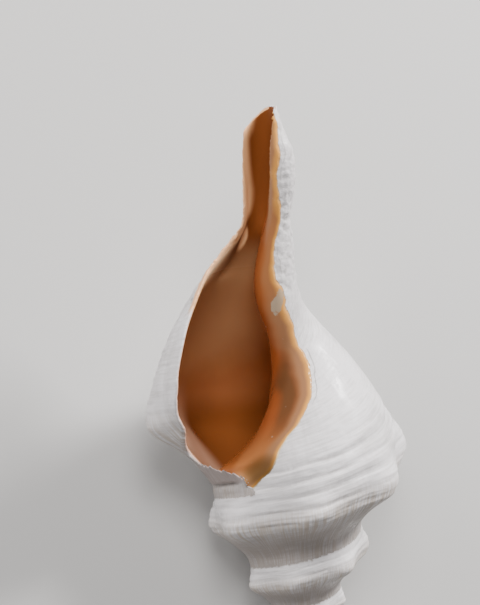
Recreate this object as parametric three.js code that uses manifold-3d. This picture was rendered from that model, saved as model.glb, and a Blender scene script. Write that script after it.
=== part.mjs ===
// A horse conch shell, 400 mm long. It rests on three worn knobs, with its canal raised and its mouth up.
//
// The shell is a coiled tube. Every turn is a larger copy of the turn before it, scaled about the apex, and
// the last one draws in to a long open canal. The outside is built as one solid, and the living chamber and
// the trough of the canal are then cut out of it.
//
// Places on the shell are given by three numbers. "station" is the distance along the axis from the tip of
// the canal, "radius" the distance from the axis, and "angle" the turn round the axis: 0 is the front, 90
// the right, and the shell grows with the angle until it ends at the lip. "reach" is the distance from the
// apex along the axis, as it would be if that turn had the size of the last one.
import * as THREE from 'three';
import Module from 'manifold-3d';

// Driving dimensions, in millimetres and degrees.
const LENGTH = 400;
const EXPANSION_PER_TURN = 1.62;
const LIP_ANGLE = 311;
const TURNS_BEFORE_LAST = 5.5;

// The outline of a whorl at the lip: reach from the apex and radius, from the suture to the base.
const WHORL_REACH = [140, 151, 160, 170, 180, 188, 200, 212, 228, 258, 280, 298, 317, 331, 345, 365, 400];
const WHORL_RADIUS = [58.5, 61, 67.5, 77.5, 87, 92.5, 95.5, 96, 94.5, 84, 70.5, 57, 39.5, 27, 18, 8, 1];
const COVERED_FROM_REACH = 227; // the next whorl covers the outline from here on
const SUTURE_REACH = COVERED_FROM_REACH / EXPANSION_PER_TURN;
const BASE_END_REACH = 331;

// Knobs on the shoulder.
const KNOB_SPACING = 54;
const KNOB_ANGLE = 280.4;
const KNOB_REACH = 193;
const KNOB_HEIGHT = 11;
const KNOB_SHARPNESS = 1.5;
const KNOB_TO_BASE = 26;
const KNOB_TO_SUTURE = 15;

// One knob has grown nearer to the one before it, nearer to the canal and larger than the rest.
const ODD_KNOB_ANGLE = 112;
const ODD_KNOB_SPREAD = 35;
const ODD_KNOB_TURN = 11;
const ODD_KNOB_RISE = 14;
const ODD_KNOB_EXTRA = 0.35;
const KNOB_DROOP = 9; // how much nearer the spire the shoulder lies at a knob

// The shoulder rises toward the canal as it comes to the lip.
const LIP_RISE = 15;
const LIP_RISE_ANGLE = 190;
const LIP_RISE_FADE = 90;
const LIP_RISE_TO_BASE = 40;
const LIP_RISE_TO_SUTURE = 22;

// The canal and the pillar: the radius at stations along the axis, in seven directions round it.
const CANAL_STATIONS = [0, 17, 31, 51, 65, 77, 89, 114, 135, 156, 175, 210];
const CANAL_RADII = [
  { angle: -100, radii: [1, 1, 1, 2, 5, 7.5, 11, 17.5, 17, 10.5, 9.5, 9] },
  { angle: -45, radii: [1, 1, 2, 4, 6.5, 8.5, 11, 16, 16, 12, 10, 9] },
  { angle: 0, radii: [3, 7, 12, 12.5, 12, 11, 11.5, 13.5, 15, 14, 11, 9] },
  { angle: 45, radii: [4, 11, 16.5, 16, 13, 10.5, 10.5, 11, 12.5, 12, 10, 9] },
  { angle: 90, radii: [2, 9.2, 13.8, 14.5, 12, 8.6, 9.8, 10, 11.5, 11, 10, 9] },
  { angle: 180, radii: [13, 15, 17, 18, 17.5, 17, 16.5, 16, 15, 13, 11, 9] },
  { angle: 270, radii: [19, 19.7, 20.7, 21.5, 22, 22, 21, 20, 18, 15, 12, 9] },
];

// Inside the mouth the turn before is hollowed toward the pillar, as far as the next turn covers it.
const HOLLOW_REACH = [228, 238, 250, 259, 268, 288, 311, 334, 345];
const HOLLOW_CHANGE = [0, 0, 6, 9, -3, -15, -17, -4, 0];
const HOLLOW_FROM = -22;
const HOLLOW_FADE = 36; // degrees

const BLEND = 9; // how softly the base runs into the canal
const DEEP_PILLAR_RADIUS = 9;
const DEEP_PILLAR_ANGLE = -200;
const TIP_DEPTH = 15.8; // the canal's end is cut off at a slant, in a curve
const TIP_WIDTH = 22;
const TIP_CURVE = 1.8;
const TIP_HIGH_SIDE = 3;
const TIP_CENTRE_STATION = 2;
const APEX_SHARE = 0.75; // how far along its first turn's reach the apex lies

// Where the outer lip ends, and where the parietal wall meets the mouth, as angles along the outline.
const LIP_REACH = [SUTURE_REACH, 153.5, 160, 164.5, 169, 176.5, 185, 195, 210, 228, 280, 317, 345, 370];
const LIP_ANGLES = [334, 329, 318, 304, 292, 289, 295, 302, 307, 310, 305, 290, 275, 270];
const LIP_SWING = 0.5; // the share of the canal's length over which the lip swings to its last angle
const MOUTH_REACH = [COVERED_FROM_REACH, 236, 250, 290];
const MOUTH_ANGLES = [-26, -32, -58, -90];
const COVERED_ANGLES = [-32, -52, -76, -106]; // the wall is carried on this far, inside the mouth

// The walls and the chamber.
const WALL = 4;
const LIP_WALL = 3;
const CHAMBER_KNOB_SHARE = 0.7; // how much of the knobs shows inside
const WALL_FADE = 60; // degrees from the lip over which the wall reaches its full thickness
const CHAMBER_START = 351;
const CHAMBER_END = -288;
const CHAMBER_HEEL_REACH = 146;
const CHAMBER_HEEL_GAP = 2;
const CHAMBER_HEEL_RISE = 9; // the mouth's corner at the suture is filled
const CHAMBER_HEEL_ANGLE = 280;
const CHAMBER_HEEL_FADE = 40;
const CHAMBER_TOE_REACH = 345;
const CHAMBER_TOE_GAP = 5;
const MOUTH_STEP = 0.8; // the chamber's floor lies this much below the parietal wall
const CHAMBER_LEAST_GAP = 0.4;
const MOUTH_CLEARANCE = 4; // the cutter lies this far off the wall outside the mouth
const MOUTH_CLEARANCE_FADE = 22; // degrees

// The trough of the canal at stations along the axis: its centre, half width and depth, and the directions in
// which its left and right side run out to the front.
const TROUGH = [
  { station: -8, x: -7, z: -1, half: 10.5, depth: 11, left: -35, right: -35 },
  { station: 31, x: -7, z: -1, half: 11.5, depth: 12, left: -35, right: -35 },
  { station: 60, x: -10.5, z: -1, half: 9, depth: 10, left: -20, right: -5 },
  { station: 80, x: -14, z: 0.5, half: 7.8, depth: 9, left: -16, right: 12 },
  { station: 98, x: -24, z: 0.5, half: 7, depth: 8, left: -18, right: 25 },
  { station: 118, x: -35, z: -3, half: 11, depth: 12, left: -9, right: 20 },
  { station: 135, x: -36, z: -3, half: 10, depth: 10, left: -12, right: 20 },
];
const TROUGH_TILT = 35;
const TROUGH_OPENING_LENGTH = 60;

// How the shell lies: rolled about its own axis, pitched so that the canal rises, and set down on three knobs
// that are worn flat.
const REST_ROLL = -19.3;
const REST_PITCH = 24;
const WORN_DEPTH = 1.2;

// Mesh density.
const COLUMNS = 40;
const EARLY_COLUMNS = TURNS_BEFORE_LAST * COLUMNS;
const COLUMN_CROWDING = 2; // how late in the last turn the columns lean over to follow the lip
const COVERED_COLUMNS = 8;
const RAMP_ROWS = 8;
const BASE_ROWS = 9;
const CANAL_ROWS = 10;
const CHAMBER_STEP = 9;
const CHAMBER_ROWS = 12;
const CHAMBER_PROBE_STEP = 1;
const TROUGH_POINTS = 9;
const TOLERANCE = 0.08; // slivers narrower than this are closed up

const radians = THREE.MathUtils.degToRad;
const clamp = THREE.MathUtils.clamp;

// A smooth curve through a table of values, level at its ends.
function lookUp(xs, ys, x) {
  const last = xs.length - 1;
  if (x <= xs[0]) return ys[0];
  if (x >= xs[last]) return ys[last];
  let i = 0;
  while (x > xs[i + 1]) i++;
  const slope = (k) => {
    if (k <= 0 || k >= last) return 0;
    return (ys[k + 1] - ys[k - 1]) / (xs[k + 1] - xs[k - 1]);
  };
  const width = xs[i + 1] - xs[i];
  const t = (x - xs[i]) / width;
  const startSlope = i === 0 ? (ys[1] - ys[0]) / width : slope(i);
  return (
    (1 + 2 * t) * (1 - t) ** 2 * ys[i] +
    t * (1 - t) ** 2 * width * startSlope +
    t * t * (3 - 2 * t) * ys[i + 1] +
    t * t * (t - 1) * width * slope(i + 1)
  );
}

function smoothStep(t) {
  const u = clamp(t, 0, 1);
  return u * u * (3 - 2 * u);
}

function smoothMax(a, b, width) {
  const share = Math.max(width - Math.abs(a - b), 0) / width;
  return Math.max(a, b) + (share * share * width) / 4;
}

const growth = (angle) => EXPANSION_PER_TURN ** ((angle - LIP_ANGLE) / 360);

function canalRadius(angle, station) {
  const angles = CANAL_RADII.map((direction) => direction.angle);
  const radii = CANAL_RADII.map((direction) => lookUp(CANAL_STATIONS, direction.radii, station));
  if (angle >= angles[0]) return lookUp(angles, radii, angle);
  const share = smoothStep((angle - angles[0]) / (DEEP_PILLAR_ANGLE - angles[0]));
  return radii[0] + (DEEP_PILLAR_RADIUS - radii[0]) * share;
}

// A bell over the shoulder, from 0 to 1, with a width of its own on each side.
function onShoulder(reach, toBase, toSuture) {
  const width = reach > KNOB_REACH ? toBase : toSuture;
  return Math.exp(-(((reach - KNOB_REACH) / width) ** 2));
}

// How much of a knob there is at this angle and reach, from 0 to 1.
function knob(angle, reach) {
  const odd = Math.exp(-(((angle - ODD_KNOB_ANGLE) / ODD_KNOB_SPREAD) ** 2));
  const turn = ((angle + ODD_KNOB_TURN * odd - KNOB_ANGLE) * 360) / KNOB_SPACING;
  const along = (0.5 + 0.5 * Math.cos(radians(turn))) ** KNOB_SHARPNESS;
  const across = onShoulder(reach - ODD_KNOB_RISE * odd, KNOB_TO_BASE, KNOB_TO_SUTURE);
  return along * across * (1 + ODD_KNOB_EXTRA * odd);
}

// The radius of the outside at a station, with the knobs at a share of their size.
function outsideRadius(angle, station, knobShare = 1) {
  const size = growth(angle);
  const reach = (LENGTH - station) / size;
  const rise = knobShare * knob(angle, reach);
  const nearLip = smoothStep((angle - LIP_RISE_ANGLE) / LIP_RISE_FADE);
  const lipRise = LIP_RISE * nearLip * onShoulder(reach, LIP_RISE_TO_BASE, LIP_RISE_TO_SUTURE);
  const shift = KNOB_DROOP * rise - lipRise;
  const hollow = smoothStep((HOLLOW_FROM - angle) / HOLLOW_FADE) * lookUp(HOLLOW_REACH, HOLLOW_CHANGE, reach);
  const whorl = size * (lookUp(WHORL_REACH, WHORL_RADIUS, reach + shift) + KNOB_HEIGHT * rise + hollow);
  return smoothMax(whorl, canalRadius(angle, station), BLEND);
}

function place(angle, radius, station) {
  return new THREE.Vector3(
    radius * Math.sin(radians(angle)),
    LENGTH / 2 - station,
    radius * Math.cos(radians(angle)),
  );
}

function whorlPoint(angle, reach) {
  const station = LENGTH - growth(angle) * reach;
  return place(angle, outsideRadius(angle, station), station);
}

// The end of the canal, cut at a slant from the lip side up to the far side.
function tipStation(angle) {
  const across = canalRadius(angle, 0) * Math.sin(radians(angle));
  return TIP_DEPTH * (Math.max(0, TIP_HIGH_SIDE - across) / TIP_WIDTH) ** TIP_CURVE;
}

// A point of the canal's outside, from share 0 at the end of the base to 1 at the tip.
function canalPoint(angle, share) {
  const from = LENGTH - growth(angle) * BASE_END_REACH;
  const station = from + (tipStation(angle) - from) * share;
  return place(angle, outsideRadius(angle, station), station);
}

// Collects vertices and triangles of one closed surface.
class Skin {
  constructor() {
    this.points = [];
    this.triangles = [];
  }

  add(point) {
    this.points.push(point);
    return this.points.length - 1;
  }

  triangle(a, b, c) {
    if (a !== b && b !== c && a !== c) this.triangles.push([a, b, c]);
  }

  quad(a, b, c, d) {
    this.triangle(a, b, c);
    this.triangle(a, c, d);
  }

  // Fills the strip between two lines of points, row by row, as far as the shorter one goes.
  strip(near, far) {
    for (let row = 0; row < Math.min(near.length, far.length) - 1; row++) {
      this.quad(near[row], far[row], far[row + 1], near[row + 1]);
    }
  }

  // Fills the face between two lines of points that run the same way.
  closeGap(left, right) {
    const [leftCount, rightCount] = [left.length - 1, right.length - 1];
    let [i, j] = [0, 0];
    while (i < leftCount || j < rightCount) {
      if ((i + 1) * rightCount < (j + 1) * leftCount) {
        this.triangle(left[i], right[j], left[i + 1]);
        i++;
      } else {
        this.triangle(left[i], right[j], right[j + 1]);
        j++;
      }
    }
  }

  solid(wasm) {
    const mesh = new wasm.Mesh({
      numProp: 3,
      vertProperties: new Float32Array(this.points.flatMap((p) => p.toArray())),
      triVerts: new Uint32Array(this.triangles.flat()),
    });
    return new wasm.Manifold(mesh);
  }
}

// The reaches of the rows that stay in sight on the spire, from one suture to the next.
function rampReaches() {
  const spacing = (COVERED_FROM_REACH - SUTURE_REACH) / RAMP_ROWS;
  return Array.from({ length: RAMP_ROWS + 1 }, (_, i) => SUTURE_REACH + spacing * i);
}

// The reaches of the rows from there to the end of the base.
function baseReaches() {
  const spacing = (BASE_END_REACH - COVERED_FROM_REACH) / BASE_ROWS;
  return Array.from({ length: BASE_ROWS }, (_, i) => COVERED_FROM_REACH + spacing * (i + 1));
}

const canalShares = Array.from({ length: CANAL_ROWS }, (_, i) => (i + 1) / CANAL_ROWS);

function addWhorlRows(skin, reaches, angleAt) {
  return reaches.map((reach) => skin.add(whorlPoint(angleAt(reach), reach)));
}

function addCanalRows(skin, angleAt) {
  return canalShares.map((share) => skin.add(canalPoint(angleAt(share), share)));
}

// One line of points from the suture down. A turn's first point is a point of the turn before it.
function addColumn(skin, lines, column) {
  const turn = (column - EARLY_COLUMNS) / COLUMNS;
  const angle = LIP_ANGLES[0] - 360 + 360 * turn;
  const lean = Math.max(turn, 0) ** COLUMN_CROWDING;
  const angleAt = (reach) => angle + (lookUp(LIP_REACH, LIP_ANGLES, reach) - LIP_ANGLES[0]) * lean;
  const [first, ...ramp] = rampReaches();
  const isFirst = column < COLUMNS;
  const start = isFirst ? addWhorlRows(skin, [first], angleAt) : [lines[column - COLUMNS][RAMP_ROWS]];
  if (turn < 0) return [...start, ...addWhorlRows(skin, ramp, angleAt)];
  const swing = (LIP_REACH.at(-1) - BASE_END_REACH) / LIP_SWING;
  return [
    ...start,
    ...addWhorlRows(skin, [...ramp, ...baseReaches()], angleAt),
    ...addCanalRows(skin, (share) => angleAt(BASE_END_REACH + swing * share)),
  ];
}

// The wall that goes on inside the mouth: its lines of points, from the mouth inward.
function addCoveredLines(skin, mouthLine) {
  const mouth = LIP_ANGLES[0] - 360;
  const lines = [mouthLine];
  for (let column = 1; column <= COVERED_COLUMNS; column++) {
    const share = column / COVERED_COLUMNS;
    const angleAt = (reach) => mouth + (lookUp(MOUTH_REACH, COVERED_ANGLES, reach) - mouth) * share;
    lines.push([
      mouthLine[0],
      ...addWhorlRows(skin, baseReaches(), angleAt),
      ...addCanalRows(skin, () => angleAt(BASE_END_REACH)),
    ]);
  }
  return lines;
}

function closeTip(skin, ring) {
  const tip = skin.add(place(0, 0, TIP_CENTRE_STATION));
  for (let i = 0; i < ring.length; i++) {
    skin.triangle(ring[(i + 1) % ring.length], ring[i], tip);
  }
}

function closeApex(skin, lines) {
  const firstAngle = LIP_ANGLES[0] - 360 - 360 * TURNS_BEFORE_LAST;
  const apex = skin.add(place(0, 0, LENGTH - growth(firstAngle) * SUTURE_REACH * APEX_SHARE));
  for (let column = 0; column < COLUMNS; column++) {
    skin.triangle(lines[column + 1][0], lines[column][0], apex);
  }
  for (let row = 0; row < RAMP_ROWS; row++) {
    skin.triangle(lines[0][row], lines[0][row + 1], apex);
  }
}

// The whole outside as one solid, with the mouth closed by a face from the lip to the pillar.
function outside(wasm) {
  const skin = new Skin();
  const lines = [];
  for (let column = 0; column <= EARLY_COLUMNS + COLUMNS; column++) {
    lines.push(addColumn(skin, lines, column));
    if (column > 0) skin.strip(lines[column - 1], lines[column]);
  }
  const covered = addCoveredLines(skin, lines[EARLY_COLUMNS].slice(RAMP_ROWS));
  for (let i = 1; i < covered.length; i++) skin.strip(covered[i], covered[i - 1]);
  skin.closeGap(lines.at(-1), covered.at(-1));
  const lastTurn = lines.slice(EARLY_COLUMNS).reverse();
  closeTip(skin, [...lastTurn, ...covered.slice(1)].map((line) => line.at(-1)));
  closeApex(skin, lines);
  return skin.solid(wasm);
}

// The radius of the inside of the outer wall.
function chamberOuter(angle, reach) {
  const size = growth(angle);
  const thickening = smoothStep((LIP_ANGLE - angle) / WALL_FADE);
  const wall = size * (LIP_WALL + (WALL - LIP_WALL) * thickening);
  const station = LENGTH - size * reach;
  const slope = (outsideRadius(angle, station + 1, 0) - outsideRadius(angle, station - 1, 0)) / 2;
  return outsideRadius(angle, station, CHAMBER_KNOB_SHARE) - wall * Math.sqrt(1 + slope * slope);
}

// The radius of the turn before, on which the chamber lies.
function chamberInner(angle, reach) {
  const inner = angle - 360;
  const mouthAngle = lookUp(MOUTH_REACH, MOUTH_ANGLES, reach * EXPANSION_PER_TURN);
  const share = clamp((inner - mouthAngle) / MOUTH_CLEARANCE_FADE, 0, 1);
  const clearance = (MOUTH_CLEARANCE + MOUTH_STEP) * share - MOUTH_STEP;
  return outsideRadius(inner, LENGTH - growth(angle) * reach) + clearance;
}

// The reaches between which the chamber is open at an angle.
function chamberSpan(angle) {
  const size = growth(angle);
  const gap = (reach) => chamberOuter(angle, reach) - chamberInner(angle, reach);
  const rise = smoothStep((angle - CHAMBER_HEEL_ANGLE) / CHAMBER_HEEL_FADE);
  let heel = CHAMBER_HEEL_REACH + CHAMBER_HEEL_RISE * rise;
  while (gap(heel) < CHAMBER_HEEL_GAP * size) heel += CHAMBER_PROBE_STEP;
  let toe = CHAMBER_TOE_REACH;
  while (gap(toe) < CHAMBER_TOE_GAP * size) toe -= CHAMBER_PROBE_STEP;
  return [heel, toe];
}

// The chamber's section at an angle: points down the inside of the outer wall, then back up the pillar.
function chamberSection(angle) {
  const [heel, toe] = chamberSpan(angle);
  const outer = [];
  const inner = [];
  for (let i = 0; i <= CHAMBER_ROWS; i++) {
    const reach = heel + ((toe - heel) * i) / CHAMBER_ROWS;
    const station = LENGTH - growth(angle) * reach;
    const radius = chamberInner(angle, reach);
    inner.push(place(angle, radius, station));
    outer.push(place(angle, Math.max(chamberOuter(angle, reach), radius + CHAMBER_LEAST_GAP), station));
  }
  return [...outer, ...inner.reverse()];
}

// A solid through a row of sections with the same number of points, closed at both ends.
function loft(wasm, sections) {
  const skin = new Skin();
  const rings = sections.map((section) => section.map((point) => skin.add(point)));
  const count = sections[0].length;
  for (let ring = 0; ring < rings.length - 1; ring++) {
    for (let i = 0; i < count; i++) {
      const next = (i + 1) % count;
      skin.quad(rings[ring][i], rings[ring][next], rings[ring + 1][next], rings[ring + 1][i]);
    }
  }
  for (const [ring, flip] of [[rings[0], false], [rings.at(-1), true]]) {
    // Strips across the ring, from one end of the section to the other.
    for (let i = 0, j = count - 1; i < j - 1; i++, j--) {
      const corners = [ring[j], ring[j - 1], ring[i + 1], ring[i]];
      if (flip) corners.reverse();
      skin.quad(...corners);
    }
  }
  return skin.solid(wasm);
}

function chamber(wasm) {
  const sections = [];
  for (let angle = CHAMBER_START; angle >= CHAMBER_END; angle -= CHAMBER_STEP) {
    sections.push(chamberSection(angle));
  }
  return loft(wasm, sections);
}

// The trough's section: two sides that run out of the shell, joined by a half round bottom.
function troughSection({ station, x, z, half, depth, left, right }) {
  const point = (across, outward) => new THREE.Vector2(across, outward)
    .rotateAround(new THREE.Vector2(), radians(TROUGH_TILT))
    .add(new THREE.Vector2(x, z));
  const side = (start, direction) => start.clone().add(new THREE.Vector2(
    TROUGH_OPENING_LENGTH * Math.sin(radians(direction)),
    TROUGH_OPENING_LENGTH * Math.cos(radians(direction)),
  ));
  const outline = [];
  for (let i = 0; i <= TROUGH_POINTS; i++) {
    const turn = (Math.PI * i) / TROUGH_POINTS;
    outline.push(point(half * Math.cos(turn), -depth * Math.sin(turn)));
  }
  outline.push(side(outline.at(-1), left), side(outline[0], right));
  return outline.map((p) => new THREE.Vector3(p.x, LENGTH / 2 - station, p.y));
}

function trough(wasm) {
  return loft(wasm, TROUGH.map(troughSection).reverse());
}

// Turns the shell to the way it lies and sets it down, its knobs worn flat where they touch.
function layDown(wasm, shell) {
  const turned = shell.rotate([0, REST_ROLL, 0]).rotate([REST_PITCH, 0, 0]);
  const bounds = turned.boundingBox();
  const middle = [(bounds.min[0] + bounds.max[0]) / 2, (bounds.min[1] + bounds.max[1]) / 2];
  return turned
    .translate([-middle[0], -middle[1], -bounds.min[2] - WORN_DEPTH])
    .trimByPlane([0, 0, 1], 0)
    .simplify(TOLERANCE);
}

function toGeometry(solid) {
  const mesh = solid.getMesh();
  const geometry = new THREE.BufferGeometry();
  geometry.setAttribute('position', new THREE.BufferAttribute(mesh.vertProperties, 3));
  geometry.setIndex(new THREE.BufferAttribute(mesh.triVerts, 1));
  geometry.computeVertexNormals();
  return geometry;
}

const wasm = await Module();
wasm.setup();

const shellSolid = layDown(wasm, outside(wasm).subtract(chamber(wasm)).subtract(trough(wasm)));
const shellMaterial = new THREE.MeshStandardMaterial({ color: 0xe6e1dc, roughness: 0.45, metalness: 0 });
const shell = new THREE.Mesh(toGeometry(shellSolid), shellMaterial);
shell.name = 'shell';

const conch = new THREE.Group();
conch.add(shell);
export default conch;
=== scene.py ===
"""A horse conch shell that lies mouth up: its fine surface, its finish and the studio round it."""

import logging
import math
from dataclasses import dataclass, field
from enum import Enum
from typing import Sequence

import bpy
import numpy as np
from mathutils import Matrix, Vector


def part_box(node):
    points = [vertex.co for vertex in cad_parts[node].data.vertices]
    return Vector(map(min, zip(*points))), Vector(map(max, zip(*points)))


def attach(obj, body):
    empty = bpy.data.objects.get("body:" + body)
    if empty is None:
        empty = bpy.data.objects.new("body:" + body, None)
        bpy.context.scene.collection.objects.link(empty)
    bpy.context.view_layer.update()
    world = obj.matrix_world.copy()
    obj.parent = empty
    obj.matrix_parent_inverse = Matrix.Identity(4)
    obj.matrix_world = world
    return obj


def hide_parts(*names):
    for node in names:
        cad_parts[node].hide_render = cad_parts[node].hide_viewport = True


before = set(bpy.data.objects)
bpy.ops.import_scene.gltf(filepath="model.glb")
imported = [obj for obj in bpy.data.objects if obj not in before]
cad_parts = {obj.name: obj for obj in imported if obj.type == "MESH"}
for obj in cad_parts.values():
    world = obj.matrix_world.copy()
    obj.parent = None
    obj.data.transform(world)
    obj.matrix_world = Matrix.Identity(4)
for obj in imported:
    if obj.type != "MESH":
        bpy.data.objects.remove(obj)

LOG = logging.getLogger("conch")
MM = 0.001
PICTURE_WIDTH = 480
PICTURE_HEIGHT = 605
Socket = bpy.types.NodeSocket
Sockets = bpy.types.NodeOutputs


class Surface(Enum):
    """Which surface of the shell a face belongs to."""

    OUTSIDE = 0
    CHAMBER = 1
    TROUGH = 2


def look_up(xs: Sequence[float], ys: np.ndarray, x: np.ndarray) -> np.ndarray:
    """Reads a smooth curve through a table of values, level at its ends.

    Args:
        xs: The table's places, rising.
        ys: The value at each place, or one row of values for each place and element of x.
        x: Where to read the curve.

    Returns:
        The curve's value at each x.
    """
    places = np.asarray(xs, float)
    x = np.clip(np.asarray(x, float).ravel(), places[0], places[-1])
    values = np.asarray(ys, float)
    if values.ndim == 1:
        values = np.repeat(values[:, None], len(x), axis=1)
    slopes = np.zeros_like(values)
    slopes[1:-1] = (values[2:] - values[:-2]) / (places[2:] - places[:-2])[:, None]
    slopes[0] = (values[1] - values[0]) / (places[1] - places[0])
    i = np.clip(np.searchsorted(places, x, side="left") - 1, 0, len(places) - 2)
    each = np.arange(len(x))
    width = places[i + 1] - places[i]
    t = (x - places[i]) / width
    return (
        (1 + 2 * t) * (1 - t) ** 2 * values[i, each]
        + t * (1 - t) ** 2 * width * slopes[i, each]
        + t * t * (3 - 2 * t) * values[i + 1, each]
        + t * t * (t - 1) * width * slopes[i + 1, each]
    )


def smooth_step(t: np.ndarray) -> np.ndarray:
    """Rises smoothly from 0 at t = 0 to 1 at t = 1."""
    u = np.clip(t, 0, 1)
    return u * u * (3 - 2 * u)


def smooth_max(a: np.ndarray, b: np.ndarray, width: float) -> np.ndarray:
    """The larger of a and b, with the change from one to the other rounded over a width."""
    share = np.maximum(width - np.abs(a - b), 0) / width
    return np.maximum(a, b) + share * share * width / 4


@dataclass
class ShellForm:
    """The rule that the shell grew by, in millimetres and degrees.

    A place is given by an angle round the axis (0 front, 90 right, rising as the shell grows), a station
    along the axis from the canal's tip and a radius. Reach is the distance from the apex on the last turn's
    scale.
    """

    length: float = 400
    expansion: float = 1.62
    lip_angle: float = 311
    turns_before_last: float = 5.5
    whorl_reach: tuple = (140, 151, 160, 170, 180, 188, 200, 212, 228, 258, 280, 298, 317, 331, 345, 365, 400)
    whorl_radius: tuple = (58.5, 61, 67.5, 77.5, 87, 92.5, 95.5, 96, 94.5, 84, 70.5, 57, 39.5, 27, 18, 8, 1)
    covered_from_reach: float = 227
    base_end_reach: float = 331
    knob_spacing: float = 54
    knob_angle: float = 280.4
    knob_reach: float = 193
    knob_height: float = 11
    knob_droop: float = 9
    knob_sharpness: float = 1.5
    odd_knob_angle: float = 112
    odd_knob_spread: float = 35
    odd_knob_turn: float = 11
    odd_knob_rise: float = 14
    odd_knob_extra: float = 0.35
    knob_to_base: float = 26
    knob_to_suture: float = 15
    lip_rise: float = 15
    lip_rise_angle: float = 190
    lip_rise_fade: float = 90
    lip_rise_to_base: float = 40
    lip_rise_to_suture: float = 22
    canal_stations: tuple = (0, 17, 31, 51, 65, 77, 89, 114, 135, 156, 175, 210)
    canal_angles: tuple = (-100, -45, 0, 45, 90, 180, 270)
    canal_radii: tuple = (
        (1, 1, 1, 2, 5, 7.5, 11, 17.5, 17, 10.5, 9.5, 9),
        (1, 1, 2, 4, 6.5, 8.5, 11, 16, 16, 12, 10, 9),
        (3, 7, 12, 12.5, 12, 11, 11.5, 13.5, 15, 14, 11, 9),
        (4, 11, 16.5, 16, 13, 10.5, 10.5, 11, 12.5, 12, 10, 9),
        (2, 9.2, 13.8, 14.5, 12, 8.6, 9.8, 10, 11.5, 11, 10, 9),
        (13, 15, 17, 18, 17.5, 17, 16.5, 16, 15, 13, 11, 9),
        (19, 19.7, 20.7, 21.5, 22, 22, 21, 20, 18, 15, 12, 9),
    )
    hollow_reach: tuple = (228, 238, 250, 259, 268, 288, 311, 334, 345)
    hollow_change: tuple = (0, 0, 6, 9, -3, -15, -17, -4, 0)
    hollow_from: float = -22
    hollow_fade: float = 36
    blend: float = 9
    deep_pillar_radius: float = 9
    deep_pillar_angle: float = -200
    tip_depth: float = 15.8
    tip_width: float = 22
    tip_curve: float = 1.8
    tip_high_side: float = 3
    roll: float = -19.3
    pitch: float = 24
    worn_depth: float = 1.2

    @property
    def suture_reach(self) -> float:
        """The reach at which a turn meets the turn before it."""
        return self.covered_from_reach / self.expansion

    def growth(self, angle: np.ndarray) -> np.ndarray:
        """The size of the shell at an angle, as a share of its size at the lip."""
        return self.expansion ** ((np.asarray(angle, float) - self.lip_angle) / 360)

    def reach(self, angle: np.ndarray, station: np.ndarray) -> np.ndarray:
        """The reach of a place."""
        return (self.length - station) / self.growth(angle)

    def canal_radius(self, angle: np.ndarray, station: np.ndarray) -> np.ndarray:
        """The radius of the canal and the pillar.

        Args:
            angle: Angles round the axis.
            station: Stations along it, one for each angle.

        Returns:
            The radius at each place.
        """
        angle = np.asarray(angle, float).ravel()
        station = np.broadcast_to(np.asarray(station, float), angle.shape)
        radii = np.array([look_up(self.canal_stations, row, station) for row in self.canal_radii])
        first = self.canal_angles[0]
        share = smooth_step((angle - first) / (self.deep_pillar_angle - first))
        deep = radii[0] + (self.deep_pillar_radius - radii[0]) * share
        return np.where(angle >= first, look_up(self.canal_angles, radii, angle), deep)

    def knob(self, angle: np.ndarray, reach: np.ndarray) -> np.ndarray:
        """How much of a knob there is at a place, from 0 to 1."""
        odd = np.exp(-(((angle - self.odd_knob_angle) / self.odd_knob_spread) ** 2))
        turn = np.radians((angle + self.odd_knob_turn * odd - self.knob_angle) * 360 / self.knob_spacing)
        along = (0.5 + 0.5 * np.cos(turn)) ** self.knob_sharpness
        across = self.on_shoulder(reach - self.odd_knob_rise * odd, self.knob_to_base, self.knob_to_suture)
        return along * across * (1 + self.odd_knob_extra * odd)

    def on_shoulder(self, reach: np.ndarray, to_base: float, to_suture: float) -> np.ndarray:
        """A bell over the shoulder, from 0 to 1, with a width of its own on each side."""
        width = np.where(reach > self.knob_reach, to_base, to_suture)
        return np.exp(-(((reach - self.knob_reach) / width) ** 2))

    def outside_radius(self, angle: np.ndarray, station: np.ndarray, knob_share: float = 1) -> np.ndarray:
        """The radius of the outside.

        Args:
            angle: Angles round the axis.
            station: Stations along it.
            knob_share: How high the knobs stand, as a share of their full height.

        Returns:
            The radius at each place.
        """
        angle = np.asarray(angle, float).ravel()
        station = np.broadcast_to(np.asarray(station, float), angle.shape)
        size = self.growth(angle)
        reach = self.reach(angle, station)
        rise = knob_share * self.knob(angle, reach)
        near_lip = smooth_step((angle - self.lip_rise_angle) / self.lip_rise_fade)
        shoulder = self.on_shoulder(reach, self.lip_rise_to_base, self.lip_rise_to_suture)
        shift = self.knob_droop * rise - self.lip_rise * near_lip * shoulder
        whorl = look_up(self.whorl_reach, self.whorl_radius, reach + shift) + self.knob_height * rise
        hollow = smooth_step((self.hollow_from - angle) / self.hollow_fade)
        whorl = whorl + hollow * look_up(self.hollow_reach, self.hollow_change, reach)
        return smooth_max(size * whorl, self.canal_radius(angle, station), self.blend)

    def tip_station(self, angle: np.ndarray) -> np.ndarray:
        """Where the canal ends: it is cut at a slant, from the lip's side up to the far side."""
        across = self.canal_radius(angle, 0.0) * np.sin(np.radians(angle))
        share = np.maximum(0, self.tip_high_side - across) / self.tip_width
        return self.tip_depth * share**self.tip_curve

    def turned(self, points: np.ndarray) -> np.ndarray:
        """Points of the shell's own frame, rolled and pitched to the way the shell lies."""
        roll = Matrix.Rotation(math.radians(self.roll), 3, "Y")
        pitch = Matrix.Rotation(math.radians(self.pitch), 3, "X")
        return points @ np.array(pitch @ roll).T

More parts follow.
